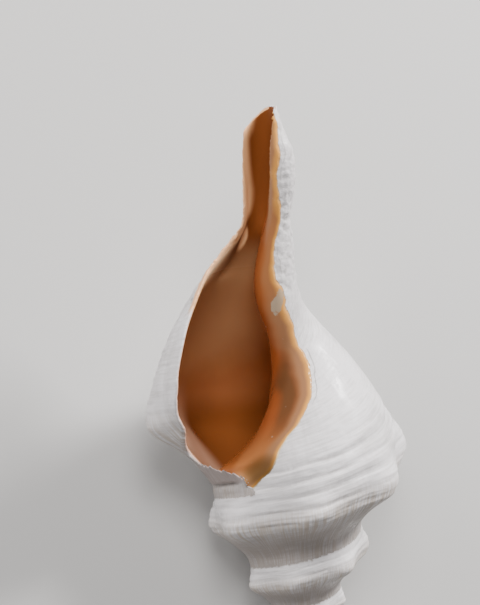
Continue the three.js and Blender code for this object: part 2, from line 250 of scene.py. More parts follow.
    def rolled_up(self, unrolled: np.ndarray) -> np.ndarray:
        """Turns angle, station and radius into points of the shell's own frame.

        Args:
            unrolled: One row of angle, station and radius for each point.

        Returns:
            One row of x, y and z for each point, with the axis along y and the canal's tip at its high end.
        """
        angle, station, radius = unrolled.T
        turn = np.radians(angle)
        return np.stack([radius * np.sin(turn), self.length / 2 - station, radius * np.cos(turn)], axis=1)


class Sheet:
    """A closed surface that is still unrolled: its points are angle, station and radius."""

    def __init__(self, surface: Surface) -> None:
        """Starts an empty sheet of one of the shell's surfaces."""
        self.surface = surface
        self.blocks: list[np.ndarray] = []
        self.count = 0
        self.faces: list[tuple[int, ...]] = []
        self.face_angles: list[float] = []

    def add(self, angle: np.ndarray, station: np.ndarray, radius: np.ndarray) -> np.ndarray:
        """Adds points and returns their numbers."""
        rows = np.stack(np.broadcast_arrays(np.atleast_1d(angle), station, radius), axis=1).astype(float)
        self.blocks.append(rows)
        self.count += len(rows)
        return np.arange(self.count - len(rows), self.count)

    def face(self, corners: Sequence[int], angle: float) -> None:
        """Adds a face at an angle, and leaves out one with no area."""
        distinct = tuple(dict.fromkeys(int(c) for c in corners))
        if len(distinct) > 2:
            self.faces.append(distinct)
            self.face_angles.append(float(angle))

    def strip(self, near: Sequence[int], far: Sequence[int], angle: float) -> None:
        """Fills the strip between two lines with equally many points."""
        for row in range(len(near) - 1):
            self.face((near[row], far[row], far[row + 1], near[row + 1]), angle)

    def close_gap(self, left: Sequence[int], right: Sequence[int], angle: float) -> None:
        """Fills the face between two lines of points that run the same way."""
        left_count, right_count = len(left) - 1, len(right) - 1
        i = j = 0
        while i < left_count or j < right_count:
            if (i + 1) * right_count < (j + 1) * left_count:
                self.face((left[i], right[j], left[i + 1]), angle)
                i += 1
            else:
                self.face((left[i], right[j], right[j + 1]), angle)
                j += 1

    def points(self) -> np.ndarray:
        """All the points, one row of angle, station and radius each."""
        return np.concatenate(self.blocks)

    def to_object(self, name: str) -> bpy.types.Object:
        """Makes the sheet an object, in radians and metres, whose faces know their angle and surface.

        Args:
            name: The object's name.

        Returns:
            The new object, linked to the scene.
        """
        used = sorted({corner for corners in self.faces for corner in corners})
        number = {corner: i for i, corner in enumerate(used)}
        unrolled = self.points()[used] * (math.pi / 180, MM, MM)
        mesh = bpy.data.meshes.new(name)
        faces = [[number[corner] for corner in corners] for corners in self.faces]
        mesh.from_pydata(unrolled.tolist(), [], faces)
        angles = mesh.attributes.new("face_angle", "FLOAT", "FACE")
        angles.data.foreach_set("value", np.array(self.face_angles, np.float32))
        kinds = mesh.attributes.new("surface", "FLOAT", "FACE")
        kinds.data.foreach_set("value", np.full(len(self.faces), self.surface.value, np.float32))
        made = bpy.data.objects.new(name, mesh)
        bpy.context.scene.collection.objects.link(made)
        return made


@dataclass
class OutsideSheet:
    """The whole outside, from the apex to the canal's tip, with the mouth closed by a face behind the lip."""

    form: ShellForm
    columns: int = 180
    covered_columns: int = 24
    column_crowding: float = 2
    ramp_rows: int = 44
    base_rows: int = 44
    canal_rows: int = 60
    lip_reach: tuple = (0, 153.5, 160, 164.5, 169, 176.5, 185, 195, 210, 228, 280, 317, 345, 370)
    lip_angles: tuple = (334, 329, 318, 304, 292, 289, 295, 302, 307, 310, 305, 290, 275, 270)
    mouth_reach: tuple = (227, 236, 250, 290)
    covered_angles: tuple = (-32, -52, -76, -106)
    apex_share: float = 0.75
    tip_centre_station: float = 2

    def __post_init__(self) -> None:
        """Lays out the rows from the suture to the end of the base."""
        form = self.form
        self.lip_reach = (form.suture_reach, *self.lip_reach[1:])
        ramp = np.linspace(form.suture_reach, form.covered_from_reach, self.ramp_rows + 1)
        base = np.linspace(form.covered_from_reach, form.base_end_reach, self.base_rows + 1)[1:]
        self.reaches = np.concatenate([ramp, base])
        self.canal_shares = np.arange(1, self.canal_rows + 1) / self.canal_rows

    def lip_line(self, reach: np.ndarray) -> np.ndarray:
        """The angle at which the lip ends, at each reach."""
        return look_up(self.lip_reach, self.lip_angles, reach)

    def column(self, sheet: Sheet, whorl_angles: np.ndarray, canal_angles: np.ndarray) -> np.ndarray:
        """Adds one line of points from the suture down to the canal's tip.

        Args:
            sheet: The sheet that takes the points.
            whorl_angles: The angle of each row of the whorl.
            canal_angles: The angle of each row of the canal, or none for a turn that has no canal.

        Returns:
            The numbers of the points.
        """
        form = self.form
        reaches = self.reaches[len(self.reaches) - len(whorl_angles):] if len(canal_angles) else self.reaches
        reaches = reaches[: len(whorl_angles)]
        stations = form.length - form.growth(whorl_angles) * reaches
        line = sheet.add(whorl_angles, stations, form.outside_radius(whorl_angles, stations))
        if not len(canal_angles):
            return line
        start = form.length - form.growth(canal_angles) * form.base_end_reach
        stations = start + (form.tip_station(canal_angles) - start) * self.canal_shares
        canal = sheet.add(canal_angles, stations, form.outside_radius(canal_angles, stations))
        return np.concatenate([line, canal])

    def make(self) -> Sheet:
        """Builds the closed sheet."""
        sheet = Sheet(Surface.OUTSIDE)
        form = self.form
        mouth = self.lip_angles[0] - 360
        before = int(form.turns_before_last * self.columns)
        canal_reach = form.base_end_reach + (self.lip_reach[-1] - form.base_end_reach) * 2 * self.canal_shares
        whorl_lag = self.lip_line(self.reaches) - self.lip_angles[0]
        canal_lag = self.lip_line(canal_reach) - self.lip_angles[0]
        grid: list[np.ndarray] = []
        angles: list[float] = []
        for column in range(before + self.columns + 1):
            turn = (column - before) / self.columns
            angle = mouth + 360 * turn
            if column < before:
                line = self.column(sheet, np.full(self.ramp_rows + 1, angle), np.empty(0))
            else:
                lag = turn ** self.column_crowding
                line = self.column(sheet, angle + whorl_lag * lag, angle + canal_lag * lag)
            if column >= self.columns:
                line[0] = grid[column - self.columns][self.ramp_rows]
            grid.append(line)
            angles.append(angle)
        for column in range(before + self.columns):
            near, far = grid[column], grid[column + 1]
            rows = min(len(near), len(far))
            sheet.strip(near[:rows], far[:rows], (angles[column] + angles[column + 1]) / 2)
        tips = [line[-1] for line in grid[:before - 1:-1]]
        edge, more_tips = self.carry_on_inside(sheet, grid[before], mouth)
        sheet.close_gap(grid[-1], edge, self.form.lip_angle)
        self.close_ends(sheet, grid, tips + more_tips, mouth)
        return sheet

    def carry_on_inside(self, sheet: Sheet, first: np.ndarray, mouth: float) -> tuple[np.ndarray, list[int]]:
        """Carries the wall on inside the mouth.

        Args:
            sheet: The sheet that takes the points.
            first: The line at the mouth that the wall goes on from.
            mouth: That line's angle.

        Returns:
            The line at which the wall ends, and the ends of all its lines at the canal's tip.
        """
        edge = first[self.ramp_rows:]
        reaches = self.reaches[self.ramp_rows + 1:]
        last_whorl = look_up(self.mouth_reach, self.covered_angles, reaches)
        base_ends = np.full(self.canal_rows, self.form.base_end_reach)
        last_canal = look_up(self.mouth_reach, self.covered_angles, base_ends)
        tips = []
        for column in range(1, self.covered_columns + 1):
            share = column / self.covered_columns
            whorl = mouth + (last_whorl - mouth) * share
            inside = self.column(sheet, whorl, mouth + (last_canal - mouth) * share)
            line = np.concatenate([edge[:1], inside])
            sheet.strip(line, edge, mouth + (self.covered_angles[1] - mouth) * share)
            edge = line
            tips.append(line[-1])
        return edge, tips

    def close_ends(self, sheet: Sheet, grid: list[np.ndarray], tips: list[int], mouth: float) -> None:
        """Closes the canal's tip and the apex.

        Args:
            sheet: The sheet that takes the faces.
            grid: The lines of points.
            tips: The ring of points round the canal's tip.
            mouth: The angle of the mouth.
        """
        form = self.form
        tip = sheet.add(0, self.tip_centre_station, 0)[0]
        for i, corner in enumerate(tips):
            sheet.face((tips[(i + 1) % len(tips)], corner, tip), form.lip_angle)
        first = mouth - 360 * form.turns_before_last
        apex_station = form.length - float(form.growth(first)) * form.suture_reach * self.apex_share
        apex = sheet.add(0, apex_station, 0)[0]
        for column in range(self.columns):
            sheet.face((grid[column + 1][0], grid[column][0], apex), first)
        for row in range(self.ramp_rows):
            sheet.face((grid[0][row], grid[0][row + 1], apex), first)


def loft(sheet: Sheet, sections: Sequence[np.ndarray], angles: Sequence[float]) -> Sheet:
    """Joins a row of sections with the same number of points, closed at both ends.

    Args:
        sheet: The empty sheet that takes them.
        sections: One row of angle, station and radius for each point of each section.
        angles: The angle of each section.

    Returns:
        The sheet.
    """
    rings = [sheet.add(*section.T) for section in sections]
    for near, far, angle in zip(rings, rings[1:], angles):
        sheet.strip([*near, near[0]], [*far, far[0]], angle)
        sheet.faces[-len(near):] = [corners[::-1] for corners in sheet.faces[-len(near):]]
    for ring, flip, angle in ((rings[0], False, angles[0]), (rings[-1], True, angles[-1])):
        i, j = 0, len(ring) - 1
        while i < j - 1:
            corners = [ring[j], ring[j - 1], ring[i + 1], ring[i]]
            sheet.face(corners[::-1] if flip else corners, angle)
            i, j = i + 1, j - 1
    return sheet


@dataclass
class ChamberSheet:
    """The room that the animal lived in, from the mouth back round the pillar."""

    form: ShellForm
    wall: float = 4
    lip_wall: float = 3
    wall_fade: float = 60
    knob_share: float = 0.7
    start: float = 351
    end: float = -288
    step: float = 3
    rows: int = 60
    heel_reach: float = 146
    heel_gap: float = 2
    heel_rise: float = 9
    heel_angle: float = 280
    heel_fade: float = 40
    toe_reach: float = 345
    toe_gap: float = 5
    mouth_reach: tuple = (227, 236, 250, 290)
    mouth_angles: tuple = (-26, -32, -58, -90)
    mouth_step: float = 0.35
    clearance: float = 4
    clearance_fade: float = 22
    least_gap: float = 0.4
    probe_step: float = 0.2

    def outer(self, angle: float, reach: np.ndarray) -> np.ndarray:
        """The radius of the inside of the outer wall."""
        form = self.form
        size = form.growth(angle)
        thinning = smooth_step((form.lip_angle - angle) / self.wall_fade)
        wall = size * (self.lip_wall + (self.wall - self.lip_wall) * thinning)
        station = form.length - size * reach
        turn = np.full(len(reach), angle)
        slope = (form.outside_radius(turn, station + 1, 0) - form.outside_radius(turn, station - 1, 0)) / 2
        return form.outside_radius(turn, station, self.knob_share) - wall * np.sqrt(1 + slope * slope)

    def pillar(self, angle: float, reach: np.ndarray) -> np.ndarray:
        """The radius of the turn before, on which the chamber lies."""
        form = self.form
        inner = np.full(len(reach), angle - 360.0)
        mouth = look_up(self.mouth_reach, self.mouth_angles, reach * form.expansion)
        share = np.clip((inner - mouth) / self.clearance_fade, 0, 1)
        clearance = (self.clearance + self.mouth_step) * share - self.mouth_step
        return form.outside_radius(inner, form.length - form.growth(angle) * reach) + clearance

    def section(self, angle: float) -> np.ndarray:
        """The chamber's outline at an angle, down the outer wall and back up the pillar."""
        form = self.form
        size = float(form.growth(angle))
        rise = self.heel_rise * float(smooth_step((angle - self.heel_angle) / self.heel_fade))
        probes = np.arange(self.heel_reach + rise, self.toe_reach, self.probe_step)
        gap = self.outer(angle, probes) - self.pillar(angle, probes)
        heel = probes[np.argmax(gap >= self.heel_gap * size)]
        toe = probes[len(probes) - 1 - np.argmax(gap[::-1] >= self.toe_gap * size)]
        reach = np.linspace(heel, toe, self.rows + 1)
        pillar = self.pillar(angle, reach)
        outer = np.maximum(self.outer(angle, reach), pillar + self.least_gap)
        station = form.length - size * reach
        turn = np.full(len(reach), angle)
        down = np.stack([turn, station, outer], axis=1)
        back = np.stack([turn, station, pillar], axis=1)[::-1]
        return np.concatenate([down, back])

    def make(self) -> Sheet:
        """Builds the closed sheet."""
        angles = np.arange(self.start, self.end - 1, -self.step)
        return loft(Sheet(Surface.CHAMBER), [self.section(angle) for angle in angles], angles)


@dataclass
class TroughSheet:
    """The open trough of the canal: its centre, half width, depth and the directions its sides run out in."""

    form: ShellForm
    stations: tuple = (-8, 31, 60, 80, 98, 118, 135)
    across: tuple = (-7, -7, -10.5, -14, -24, -35, -36)
    outward: tuple = (-1, -1, -1, 0.5, 0.5, -3, -3)
    half: tuple = (10.5, 11.5, 9, 7.8, 7, 11, 10)
    depth: tuple = (11, 12, 10, 9, 8, 12, 10)
    left: tuple = (-35, -35, -20, -16, -18, -9, -12)
    right: tuple = (-35, -35, -5, 12, 25, 20, 20)
    tilt: float = 35
    opening_length: float = 60
    floor_points: int = 24
    steps: int = 60

    def section(self, station: float) -> np.ndarray:
        """The trough's outline at a station: a half round floor between two sides."""
        tables = (self.across, self.outward, self.half, self.depth, self.left, self.right)
        x, z, half, depth, left, right = (float(look_up(self.stations, t, station)[0]) for t in tables)
        turn = np.linspace(0, math.pi, self.floor_points + 1)
        floor = np.stack([half * np.cos(turn), -depth * np.sin(turn)], axis=1)
        tilt = math.radians(self.tilt)
        turned = floor @ np.array([[math.cos(tilt), math.sin(tilt)], [-math.sin(tilt), math.cos(tilt)]])
        floor = turned + (x, z)
        ways = np.radians([left, right])
        sides = self.opening_length * np.stack([np.sin(ways), np.cos(ways)], axis=1)
        outline = np.concatenate([floor, [floor[-1] + sides[0]], [floor[0] + sides[1]]])
        angle = np.degrees(np.arctan2(outline[:, 0], outline[:, 1]))
        return np.stack([angle, np.full(len(outline), station), np.hypot(*outline.T)], axis=1)

    def make(self) -> Sheet:
        """Builds the closed sheet."""
        stations = np.linspace(self.stations[-1], self.stations[0], self.steps + 1)
        sections = [self.section(station) for station in stations]
        return loft(Sheet(Surface.TROUGH), sections, [self.form.lip_angle] * len(sections))


class Nodes:
    """Short calls that add and link the nodes of one tree."""

    def __init__(self, tree: bpy.types.NodeTree) -> None:
        """Keeps the tree, with no attribute read yet."""
        self.tree = tree
        self.readings: dict[str, Socket] = {}

    def add(self, kind: str, inputs: dict | None = None, **settings: object) -> bpy.types.Node:
        """Adds a node.

        Args:
            kind: The node's type.
            inputs: A value or a socket for each input, by name or number.
            settings: The node's own settings.

        Returns:
            The node.
        """
        node = self.tree.nodes.new(kind)
        for name, value in settings.items():
            setattr(node, name, value)
        for name, value in (inputs or {}).items():
            self.feed(node.inputs[name], value)
        return node

    def feed(self, socket: Socket, value: object) -> None:
        """Links a socket to another, or sets its value."""
        if isinstance(value, Socket):
            self.tree.links.new(value, socket)
        elif isinstance(value, (list, tuple)) and value and isinstance(value[0], Socket):
            for one in value:
                self.tree.links.new(one, socket)
        else:
            socket.default_value = value

    def math(self, operation: str, *values: object) -> Socket:
        """The result of a Math node on one to three values."""
        node = self.add("ShaderNodeMath", dict(enumerate(values)), operation=operation)
        return node.outputs[0]

    def vector_math(self, operation: str, first: object, second: object) -> Socket:
        """The result of a Vector Math node on two vectors."""
        return self.add("ShaderNodeVectorMath", {0: first, 1: second}, operation=operation).outputs[0]

    def times(self, product: object, *factors: object) -> Socket:
        """The product of two or more values."""
        for factor in factors:
            product = self.math("MULTIPLY", product, factor)
        return product

    def plus(self, total: object, *terms: object) -> Socket:
        """The sum of two or more values."""
        for term in terms:
            total = self.math("ADD", total, term)
        return total

    def minus(self, value: object, less: object) -> Socket:
        """The difference of two values."""
        return self.math("SUBTRACT", value, less)

    def bell(self, value: object) -> Socket:
        """A bell curve: 1 where the value is 0, falling away on both sides."""
        return self.math("EXPONENT", self.times(value, value, -1.0))

    def fade(self, value: object, ends: tuple) -> Socket:
        """Turns a value into 0 at the first of two ends and 1 at the second, smoothly between."""
        inputs = {0: value, 1: ends[0], 2: ends[1]}
        return self.add("ShaderNodeMapRange", inputs, interpolation_type="SMOOTHSTEP").outputs[0]

    def read(self, name: str) -> Socket:
        """The value of one of the mesh's attributes, from one node for each name."""
        if name not in self.readings:
            if self.tree.bl_idname == "ShaderNodeTree":
                socket = self.add("ShaderNodeAttribute", attribute_name=name).outputs["Fac"]
            else:
                node = self.add("GeometryNodeInputNamedAttribute", {"Name": name}, data_type="FLOAT")
                socket = node.outputs[0]
            self.readings[name] = socket
        return self.readings[name]

    def pattern(self, steps: tuple) -> Socket:
        """Where a noise is read: a step for each degree of turn and one for each millimetre of reach."""
        across = self.times(self.read("turn"), steps[0])
        along = self.times(self.read("reach"), steps[1])
        return self.add("ShaderNodeCombineXYZ", {0: across, 1: along}).outputs[0]

    def store(self, geometry: object, name: str, value: object) -> Socket:
        """Stores a value for each point of a geometry as an attribute."""
        inputs = {"Geometry": geometry, "Name": name, "Value": value}
        node = self.add("GeometryNodeStoreNamedAttribute", inputs, data_type="FLOAT", domain="POINT")
        return node.outputs[0]

    def given(self) -> Sockets:
        """The tree's own inputs."""
        return self.add("NodeGroupInput").outputs


def new_tree(name: str, kind: str, inputs: Sequence[tuple], outputs: Sequence[tuple]) -> bpy.types.NodeTree:
    """Makes a node tree with named sockets.

    Args:
        name: The tree's name.
        kind: Its type.
        inputs: For each input its name, its socket type and its default value, or None for no value.
        outputs: For each output its name and its socket type.

    Returns:
        The tree.
    """
    tree = bpy.data.node_groups.new(name, kind)
    for title, socket_type, default in inputs:
        socket = tree.interface.new_socket(title, in_out="INPUT", socket_type=socket_type)
        if default is not None:
            socket.default_value = default
    for title, socket_type in outputs:
        tree.interface.new_socket(title, in_out="OUTPUT", socket_type=socket_type)
    return tree


def set_input(modifier: bpy.types.Modifier, title: str, value: object) -> None:
    """Sets a Geometry Nodes modifier's input, found by its title, by its identifier."""
    for item in modifier.node_group.interface.items_tree:
        if item.item_type == "SOCKET" and item.in_out == "INPUT" and item.name == title:
            modifier[item.identifier] = value
            return
    raise KeyError(title)


def evaluated_copy(source: bpy.types.Object, name: str) -> bpy.types.Object:
    """Makes what an object's modifiers give a plain mesh, and removes the object they were on.

    Args:
        source: The object with its modifiers.
        name: The new object's name.

    Returns:
        The new object.
    """
    bpy.context.view_layer.update()
    evaluated = source.evaluated_get(bpy.context.evaluated_depsgraph_get())
    mesh = bpy.data.meshes.new_from_object(evaluated)
    made = bpy.data.objects.new(name, mesh)
    bpy.context.scene.collection.objects.link(made)
    mesh.name = name
    bpy.data.objects.remove(source)
    return made


@dataclass
class CoilTree:
    """The Geometry Nodes that roll the unrolled sheets up round the axis and cut the hollows out."""

    form: ShellForm

    def roll_group(self) -> bpy.types.NodeTree:
        """The group that rolls one sheet up and lays it the way the shell lies."""
        tree = new_tree(
            "Roll up", "GeometryNodeTree",
            [("Geometry", "NodeSocketGeometry", None), ("Length", "NodeSocketFloat", 0.4),
             ("Roll", "NodeSocketFloat", 0.0), ("Pitch", "NodeSocketFloat", 0.0),
             ("Place", "NodeSocketVector", None)],
            [("Geometry", "NodeSocketGeometry")],
        )
        nodes = Nodes(tree)
        given = nodes.given()
        position = nodes.add("GeometryNodeInputPosition").outputs[0]
        parts = nodes.add("ShaderNodeSeparateXYZ", {0: position}).outputs
        angle, station, radius = parts[0], parts[1], parts[2]
        x = nodes.times(radius, nodes.math("SINE", angle))
        y = nodes.minus(nodes.times(given["Length"], 0.5), station)
        z = nodes.times(radius, nodes.math("COSINE", angle))
        point = nodes.add("ShaderNodeCombineXYZ", {0: x, 1: y, 2: z}).outputs[0]
        rolled = nodes.add("ShaderNodeVectorRotate", {"Vector": point, "Angle": given["Roll"]},
                           rotation_type="Y_AXIS").outputs[0]
        pitched = nodes.add("ShaderNodeVectorRotate", {"Vector": rolled, "Angle": given["Pitch"]},
                            rotation_type="X_AXIS").outputs[0]
        placed = nodes.vector_math("ADD", pitched, given["Place"])
        moved = nodes.add("GeometryNodeSetPosition", {"Geometry": given["Geometry"], "Position": placed})
        nodes.add("NodeGroupOutput", {0: moved.outputs[0]})
        return tree

    def make(self) -> bpy.types.NodeTree:
        """The whole tree: the outside less the chamber and the trough."""
        tree = new_tree(
            "Coil", "GeometryNodeTree",
            [("Geometry", "NodeSocketGeometry", None), ("Chamber", "NodeSocketObject", None),
             ("Trough", "NodeSocketObject", None), ("Length", "NodeSocketFloat", 0.4),
             ("Roll", "NodeSocketFloat", 0.0), ("Pitch", "NodeSocketFloat", 0.0),
             ("Place", "NodeSocketVector", None), ("Material", "NodeSocketMaterial", None)],
            [("Geometry", "NodeSocketGeometry")],
        )
        nodes = Nodes(tree)
        given = nodes.given()
        group = self.roll_group()
        sheets = [given["Geometry"]]
        for hollow in ("Chamber", "Trough"):
            sheets.append(nodes.add("GeometryNodeObjectInfo", {"Object": given[hollow]}).outputs["Geometry"])
        shared = {name: given[name] for name in ("Length", "Roll", "Pitch", "Place")}
        rolled = []
        for sheet in sheets:
            node = nodes.add("GeometryNodeGroup", node_tree=group)
            for name, value in {"Geometry": sheet, **shared}.items():
                nodes.feed(node.inputs[name], value)
            rolled.append(node.outputs[0])
        cut = nodes.add("GeometryNodeMeshBoolean", {"Mesh 1": rolled[0], "Mesh 2": rolled[1:]},
                        operation="DIFFERENCE", solver="MANIFOLD").outputs["Mesh"]
        real = nodes.add("GeometryNodeRealizeInstances", {0: cut}).outputs[0]
        dressed = nodes.add("GeometryNodeSetMaterial", {"Geometry": real, "Material": given["Material"]})
        nodes.add("NodeGroupOutput", {0: dressed.outputs[0]})
        return tree


@dataclass
class CarryTree:
    """The Geometry Nodes that carry attributes over from one mesh to another that lies on it."""

    names: tuple = ("face_angle", "surface")
    with_distances: bool = True

    def make(self) -> bpy.types.NodeTree:
        """The whole tree: the nearest face's values, and the distance to each side of the wall."""
        tree = new_tree(
            "Carry over", "GeometryNodeTree",
            [("Geometry", "NodeSocketGeometry", None), ("Source", "NodeSocketObject", None),
             ("Material", "NodeSocketMaterial", None)],
            [("Geometry", "NodeSocketGeometry")],
        )
        nodes = Nodes(tree)
        given = nodes.given()
        source = nodes.add("GeometryNodeObjectInfo", {"Object": given["Source"]}).outputs["Geometry"]
        values = {}
        for name in self.names:
            inputs = {"Mesh": source, "Value": nodes.read(name)}
            sample = nodes.add("GeometryNodeSampleNearestSurface", inputs, data_type="FLOAT")
            values[name] = sample.outputs[0]
        if self.with_distances:
            hollow = nodes.math("GREATER_THAN", nodes.read("surface"), 0.5)
            inputs = {"Geometry": source, "Selection": hollow}
            split = nodes.add("GeometryNodeSeparateGeometry", inputs, domain="FACE")
            for name, part in (("to_inside", split.outputs[0]), ("to_outside", split.outputs[1])):
                near = nodes.add("GeometryNodeProximity", {0: part}, target_element="FACES")
                values[name] = near.outputs["Distance"]
        geometry = given["Geometry"]
        for name, value in values.items():
            geometry = nodes.store(geometry, name, value)
        real = nodes.add("GeometryNodeRealizeInstances", {0: geometry}).outputs[0]
        dressed = nodes.add("GeometryNodeSetMaterial", {"Geometry": real, "Material": given["Material"]})
        nodes.add("NodeGroupOutput", {0: dressed.outputs[0]})
        return tree


@dataclass
class ReliefTree:
    """The Geometry Nodes that raise what repeats on the outside: cords, growth lines and pits, and the glaze.

    A pattern is a noise's step for each degree of turn and for each millimetre of reach.
    """

    cord_spacing: float = 14.3
    cord_phase: float = 217
    cord_pattern: tuple = (0.02, 0.012)
    cord_wobble: float = 4.0
    cord_wobble_scale: float = 1.6
    lip_cord_loss: float = 0.8
    groove_depth: float = 1.5
    groove_width: float = 2.3
    groove_strength: float = 0.62
    groove_strength_change: float = 1.1
    groove_strength_scale: float = 1.1
    groove_strength_limits: tuple = (0.12, 1.2)
    ridge_height: float = 2.6
    ridge_pattern: tuple = (0.016, 0.085)
    thread_height: float = 0.9
    thread_pattern: tuple = (0.035, 0.3)
    thread_least: float = 0.08
    line_height: float = 0.7
    line_pattern: tuple = (0.16, 0.006)
    lip_line_gain: float = 2.0
    ledge_reach: float = 149
    ledge_width: float = 1.7
    ledge_depth: float = 1.9
    ledge_end: tuple = (326, 316)
    pit_depth: float = 1.7
    pit_scale: float = 190
    pit_detail: float = 5
    glaze_thickness: float = 0.8
    throat_smoothing: int = 120
    rim_smoothing: int = 14
    seed: float = 4

    def noise(self, nodes: Nodes, vector: object, scale: float, detail: float, seed: object) -> Socket:
        """Noise about 0, between -1 and 1."""
        inputs = {"Vector": vector, "W": seed, "Scale": scale, "Detail": detail}
        node = nodes.add("ShaderNodeTexNoise", inputs, noise_dimensions="4D")
        return nodes.times(nodes.minus(node.outputs[0], 0.5), 2.0)

    def blurred(self, nodes: Nodes, value: object, times: object, weight: object) -> Socket:
        """A vector averaged with its neighbours.

        Args:
            nodes: The tree's nodes.
            value: The vector.
            times: How many times.
            weight: How strongly, 0 to 1.

        Returns:
            The averaged vector.
        """
        blur = nodes.add("GeometryNodeBlurAttribute", data_type="FLOAT_VECTOR")
        nodes.feed(blur.inputs["Iterations"], times)
        nodes.feed(blur.inputs["Weight"], weight)
        nodes.feed([socket for socket in blur.inputs if socket.type == "VECTOR"][0], value)
        return [socket for socket in blur.outputs if socket.type == "VECTOR"][0]

    def groove(self, nodes: Nodes, given: Sockets) -> Socket:
        """The depth of the grooves between the cords, which wander and are worn away in places."""
        along = nodes.pattern(self.cord_pattern)
        wobble = self.noise(nodes, along, self.cord_wobble_scale, 1.0, given["Seed"])
        wandering = nodes.plus(nodes.read("reach"), nodes.times(wobble, self.cord_wobble))
        shifted = nodes.minus(wandering, given["Cord Phase"])
        half = nodes.times(given["Cord Spacing"], 0.5)
        offset = nodes.math("WRAP", shifted, half, nodes.times(half, -1.0))
        shape = nodes.bell(nodes.math("DIVIDE", offset, given["Groove Width"]))
        change = self.noise(nodes, along, self.groove_strength_scale, 1.0, nodes.plus(given["Seed"], 3.0))
        strength = nodes.plus(nodes.times(change, self.groove_strength_change), self.groove_strength)
        least, most = self.groove_strength_limits
        strength = nodes.math("MINIMUM", nodes.math("MAXIMUM", strength, least), most)
        return nodes.times(shape, strength, nodes.times(nodes.read("cords"), given["Groove Depth"]))

    def ledge(self, nodes: Nodes) -> Socket:
        """The depth of the groove under the flange at the lip's lower end."""
        away = nodes.math("DIVIDE", nodes.minus(nodes.read("reach"), self.ledge_reach), self.ledge_width)
        first, last = self.ledge_end
        before_end = nodes.add("ShaderNodeMapRange", {0: nodes.read("turn"), 1: first, 2: last}).outputs[0]
        return nodes.times(nodes.bell(away), nodes.times(nodes.read("lip"), before_end), self.ledge_depth)

    def lines(self, nodes: Nodes, given: Sockets, cords: object) -> Socket:
        """The height of the growth lines, the cords' ridges and the fine threads.

        Args:
            nodes: The tree's nodes.
            given: The tree's inputs.
            cords: How strong the cords are.

        Returns:
            The three together, in millimetres.
        """
        seed = given["Seed"]
        growth = self.noise(nodes, nodes.pattern(self.line_pattern), 1.0, 3.0, seed)
        on_lip = nodes.plus(nodes.times(nodes.read("lip"), self.lip_line_gain), 1.0)
        growth = nodes.times(growth, given["Line Height"], on_lip)
        ridges = self.noise(nodes, nodes.pattern(self.ridge_pattern), 1.0, 1.5, seed)
        ridges = nodes.times(ridges, given["Ridge Height"], cords)
        threads = self.noise(nodes, nodes.pattern(self.thread_pattern), 1.0, 1.0, seed)
        share = nodes.plus(nodes.times(cords, 1 - self.thread_least), self.thread_least)
        threads = nodes.times(threads, given["Thread Height"], share)
        return nodes.plus(growth, ridges, threads)

    def inputs(self) -> list[tuple]:
        """The tree's inputs: the sizes of what it raises, the box that it stays in and the material."""
        sizes = {
            "Cord Spacing": self.cord_spacing, "Cord Phase": self.cord_phase,
            "Groove Depth": self.groove_depth, "Groove Width": self.groove_width,
            "Ridge Height": self.ridge_height, "Line Height": self.line_height,
            "Thread Height": self.thread_height, "Pit Depth": self.pit_depth,
            "Glaze Thickness": self.glaze_thickness, "Seed": self.seed,
        }
        return [
            ("Geometry", "NodeSocketGeometry", None),
            *((title, "NodeSocketFloat", size) for title, size in sizes.items()),
            ("Throat Smoothing", "NodeSocketInt", self.throat_smoothing),
            ("Rim Smoothing", "NodeSocketInt", self.rim_smoothing),
            ("Low Corner", "NodeSocketVector", None), ("High Corner", "NodeSocketVector", None),
            ("Material", "NodeSocketMaterial", None),
        ]

    def make(self) -> bpy.types.NodeTree:
        """The whole tree: the smoothed surface, raised along its normals and kept inside the box."""
        tree = new_tree("Relief", "GeometryNodeTree", self.inputs(), [("Geometry", "NodeSocketGeometry")])
        nodes = Nodes(tree)
        given = nodes.given()
        bare = nodes.read("bare")
        off_lip = nodes.minus(1.0, nodes.times(nodes.read("lip"), self.lip_cord_loss))
        cords = nodes.times(nodes.read("cords"), off_lip)
        groove = nodes.plus(nodes.times(self.groove(nodes, given), off_lip), self.ledge(nodes))
        whorl = nodes.minus(self.lines(nodes, given, cords), groove)
        whorl = nodes.times(whorl, nodes.times(nodes.read("size"), bare))
        position = nodes.add("GeometryNodeInputPosition").outputs[0]
        smoothed = self.blurred(nodes, position, given["Throat Smoothing"], nodes.read("throat"))
        smoothed = self.blurred(nodes, smoothed, given["Rim Smoothing"], nodes.read("rim"))
        pits = self.noise(nodes, position, self.pit_scale, self.pit_detail, given["Seed"])
        pits = nodes.times(pits, nodes.read("rough"), given["Pit Depth"])
        glaze = nodes.times(nodes.read("glaze"), given["Glaze Thickness"])
        raised = nodes.times(nodes.plus(whorl, pits, glaze), MM)
        normal = nodes.add("GeometryNodeInputNormal").outputs[0]
        push = nodes.add("ShaderNodeVectorMath", {0: normal, "Scale": raised}, operation="SCALE").outputs[0]
        moved = nodes.vector_math("ADD", smoothed, push)
        for operation, corner in (("MAXIMUM", "Low Corner"), ("MINIMUM", "High Corner")):
            moved = nodes.vector_math(operation, moved, given[corner])
        placed = nodes.add("GeometryNodeSetPosition", {"Geometry": given["Geometry"], "Position": moved})
        kept = nodes.add("GeometryNodeRealizeInstances", {0: placed.outputs[0]}).outputs[0]
        for name, value in (("groove", nodes.times(groove, bare)), ("pit", pits)):
            kept = nodes.store(kept, name, value)
        dressed = nodes.add("GeometryNodeSetMaterial", {"Geometry": kept, "Material": given["Material"]})
        nodes.add("NodeGroupOutput", {0: dressed.outputs[0]})
        return tree


def read_values(mesh: bpy.types.Mesh, name: str) -> np.ndarray:
    """Reads one of a mesh's attributes, one value for each point."""
    values = np.zeros(len(mesh.vertices), np.float32)
    mesh.attributes[name].data.foreach_get("value", values)
    return values.astype(float)


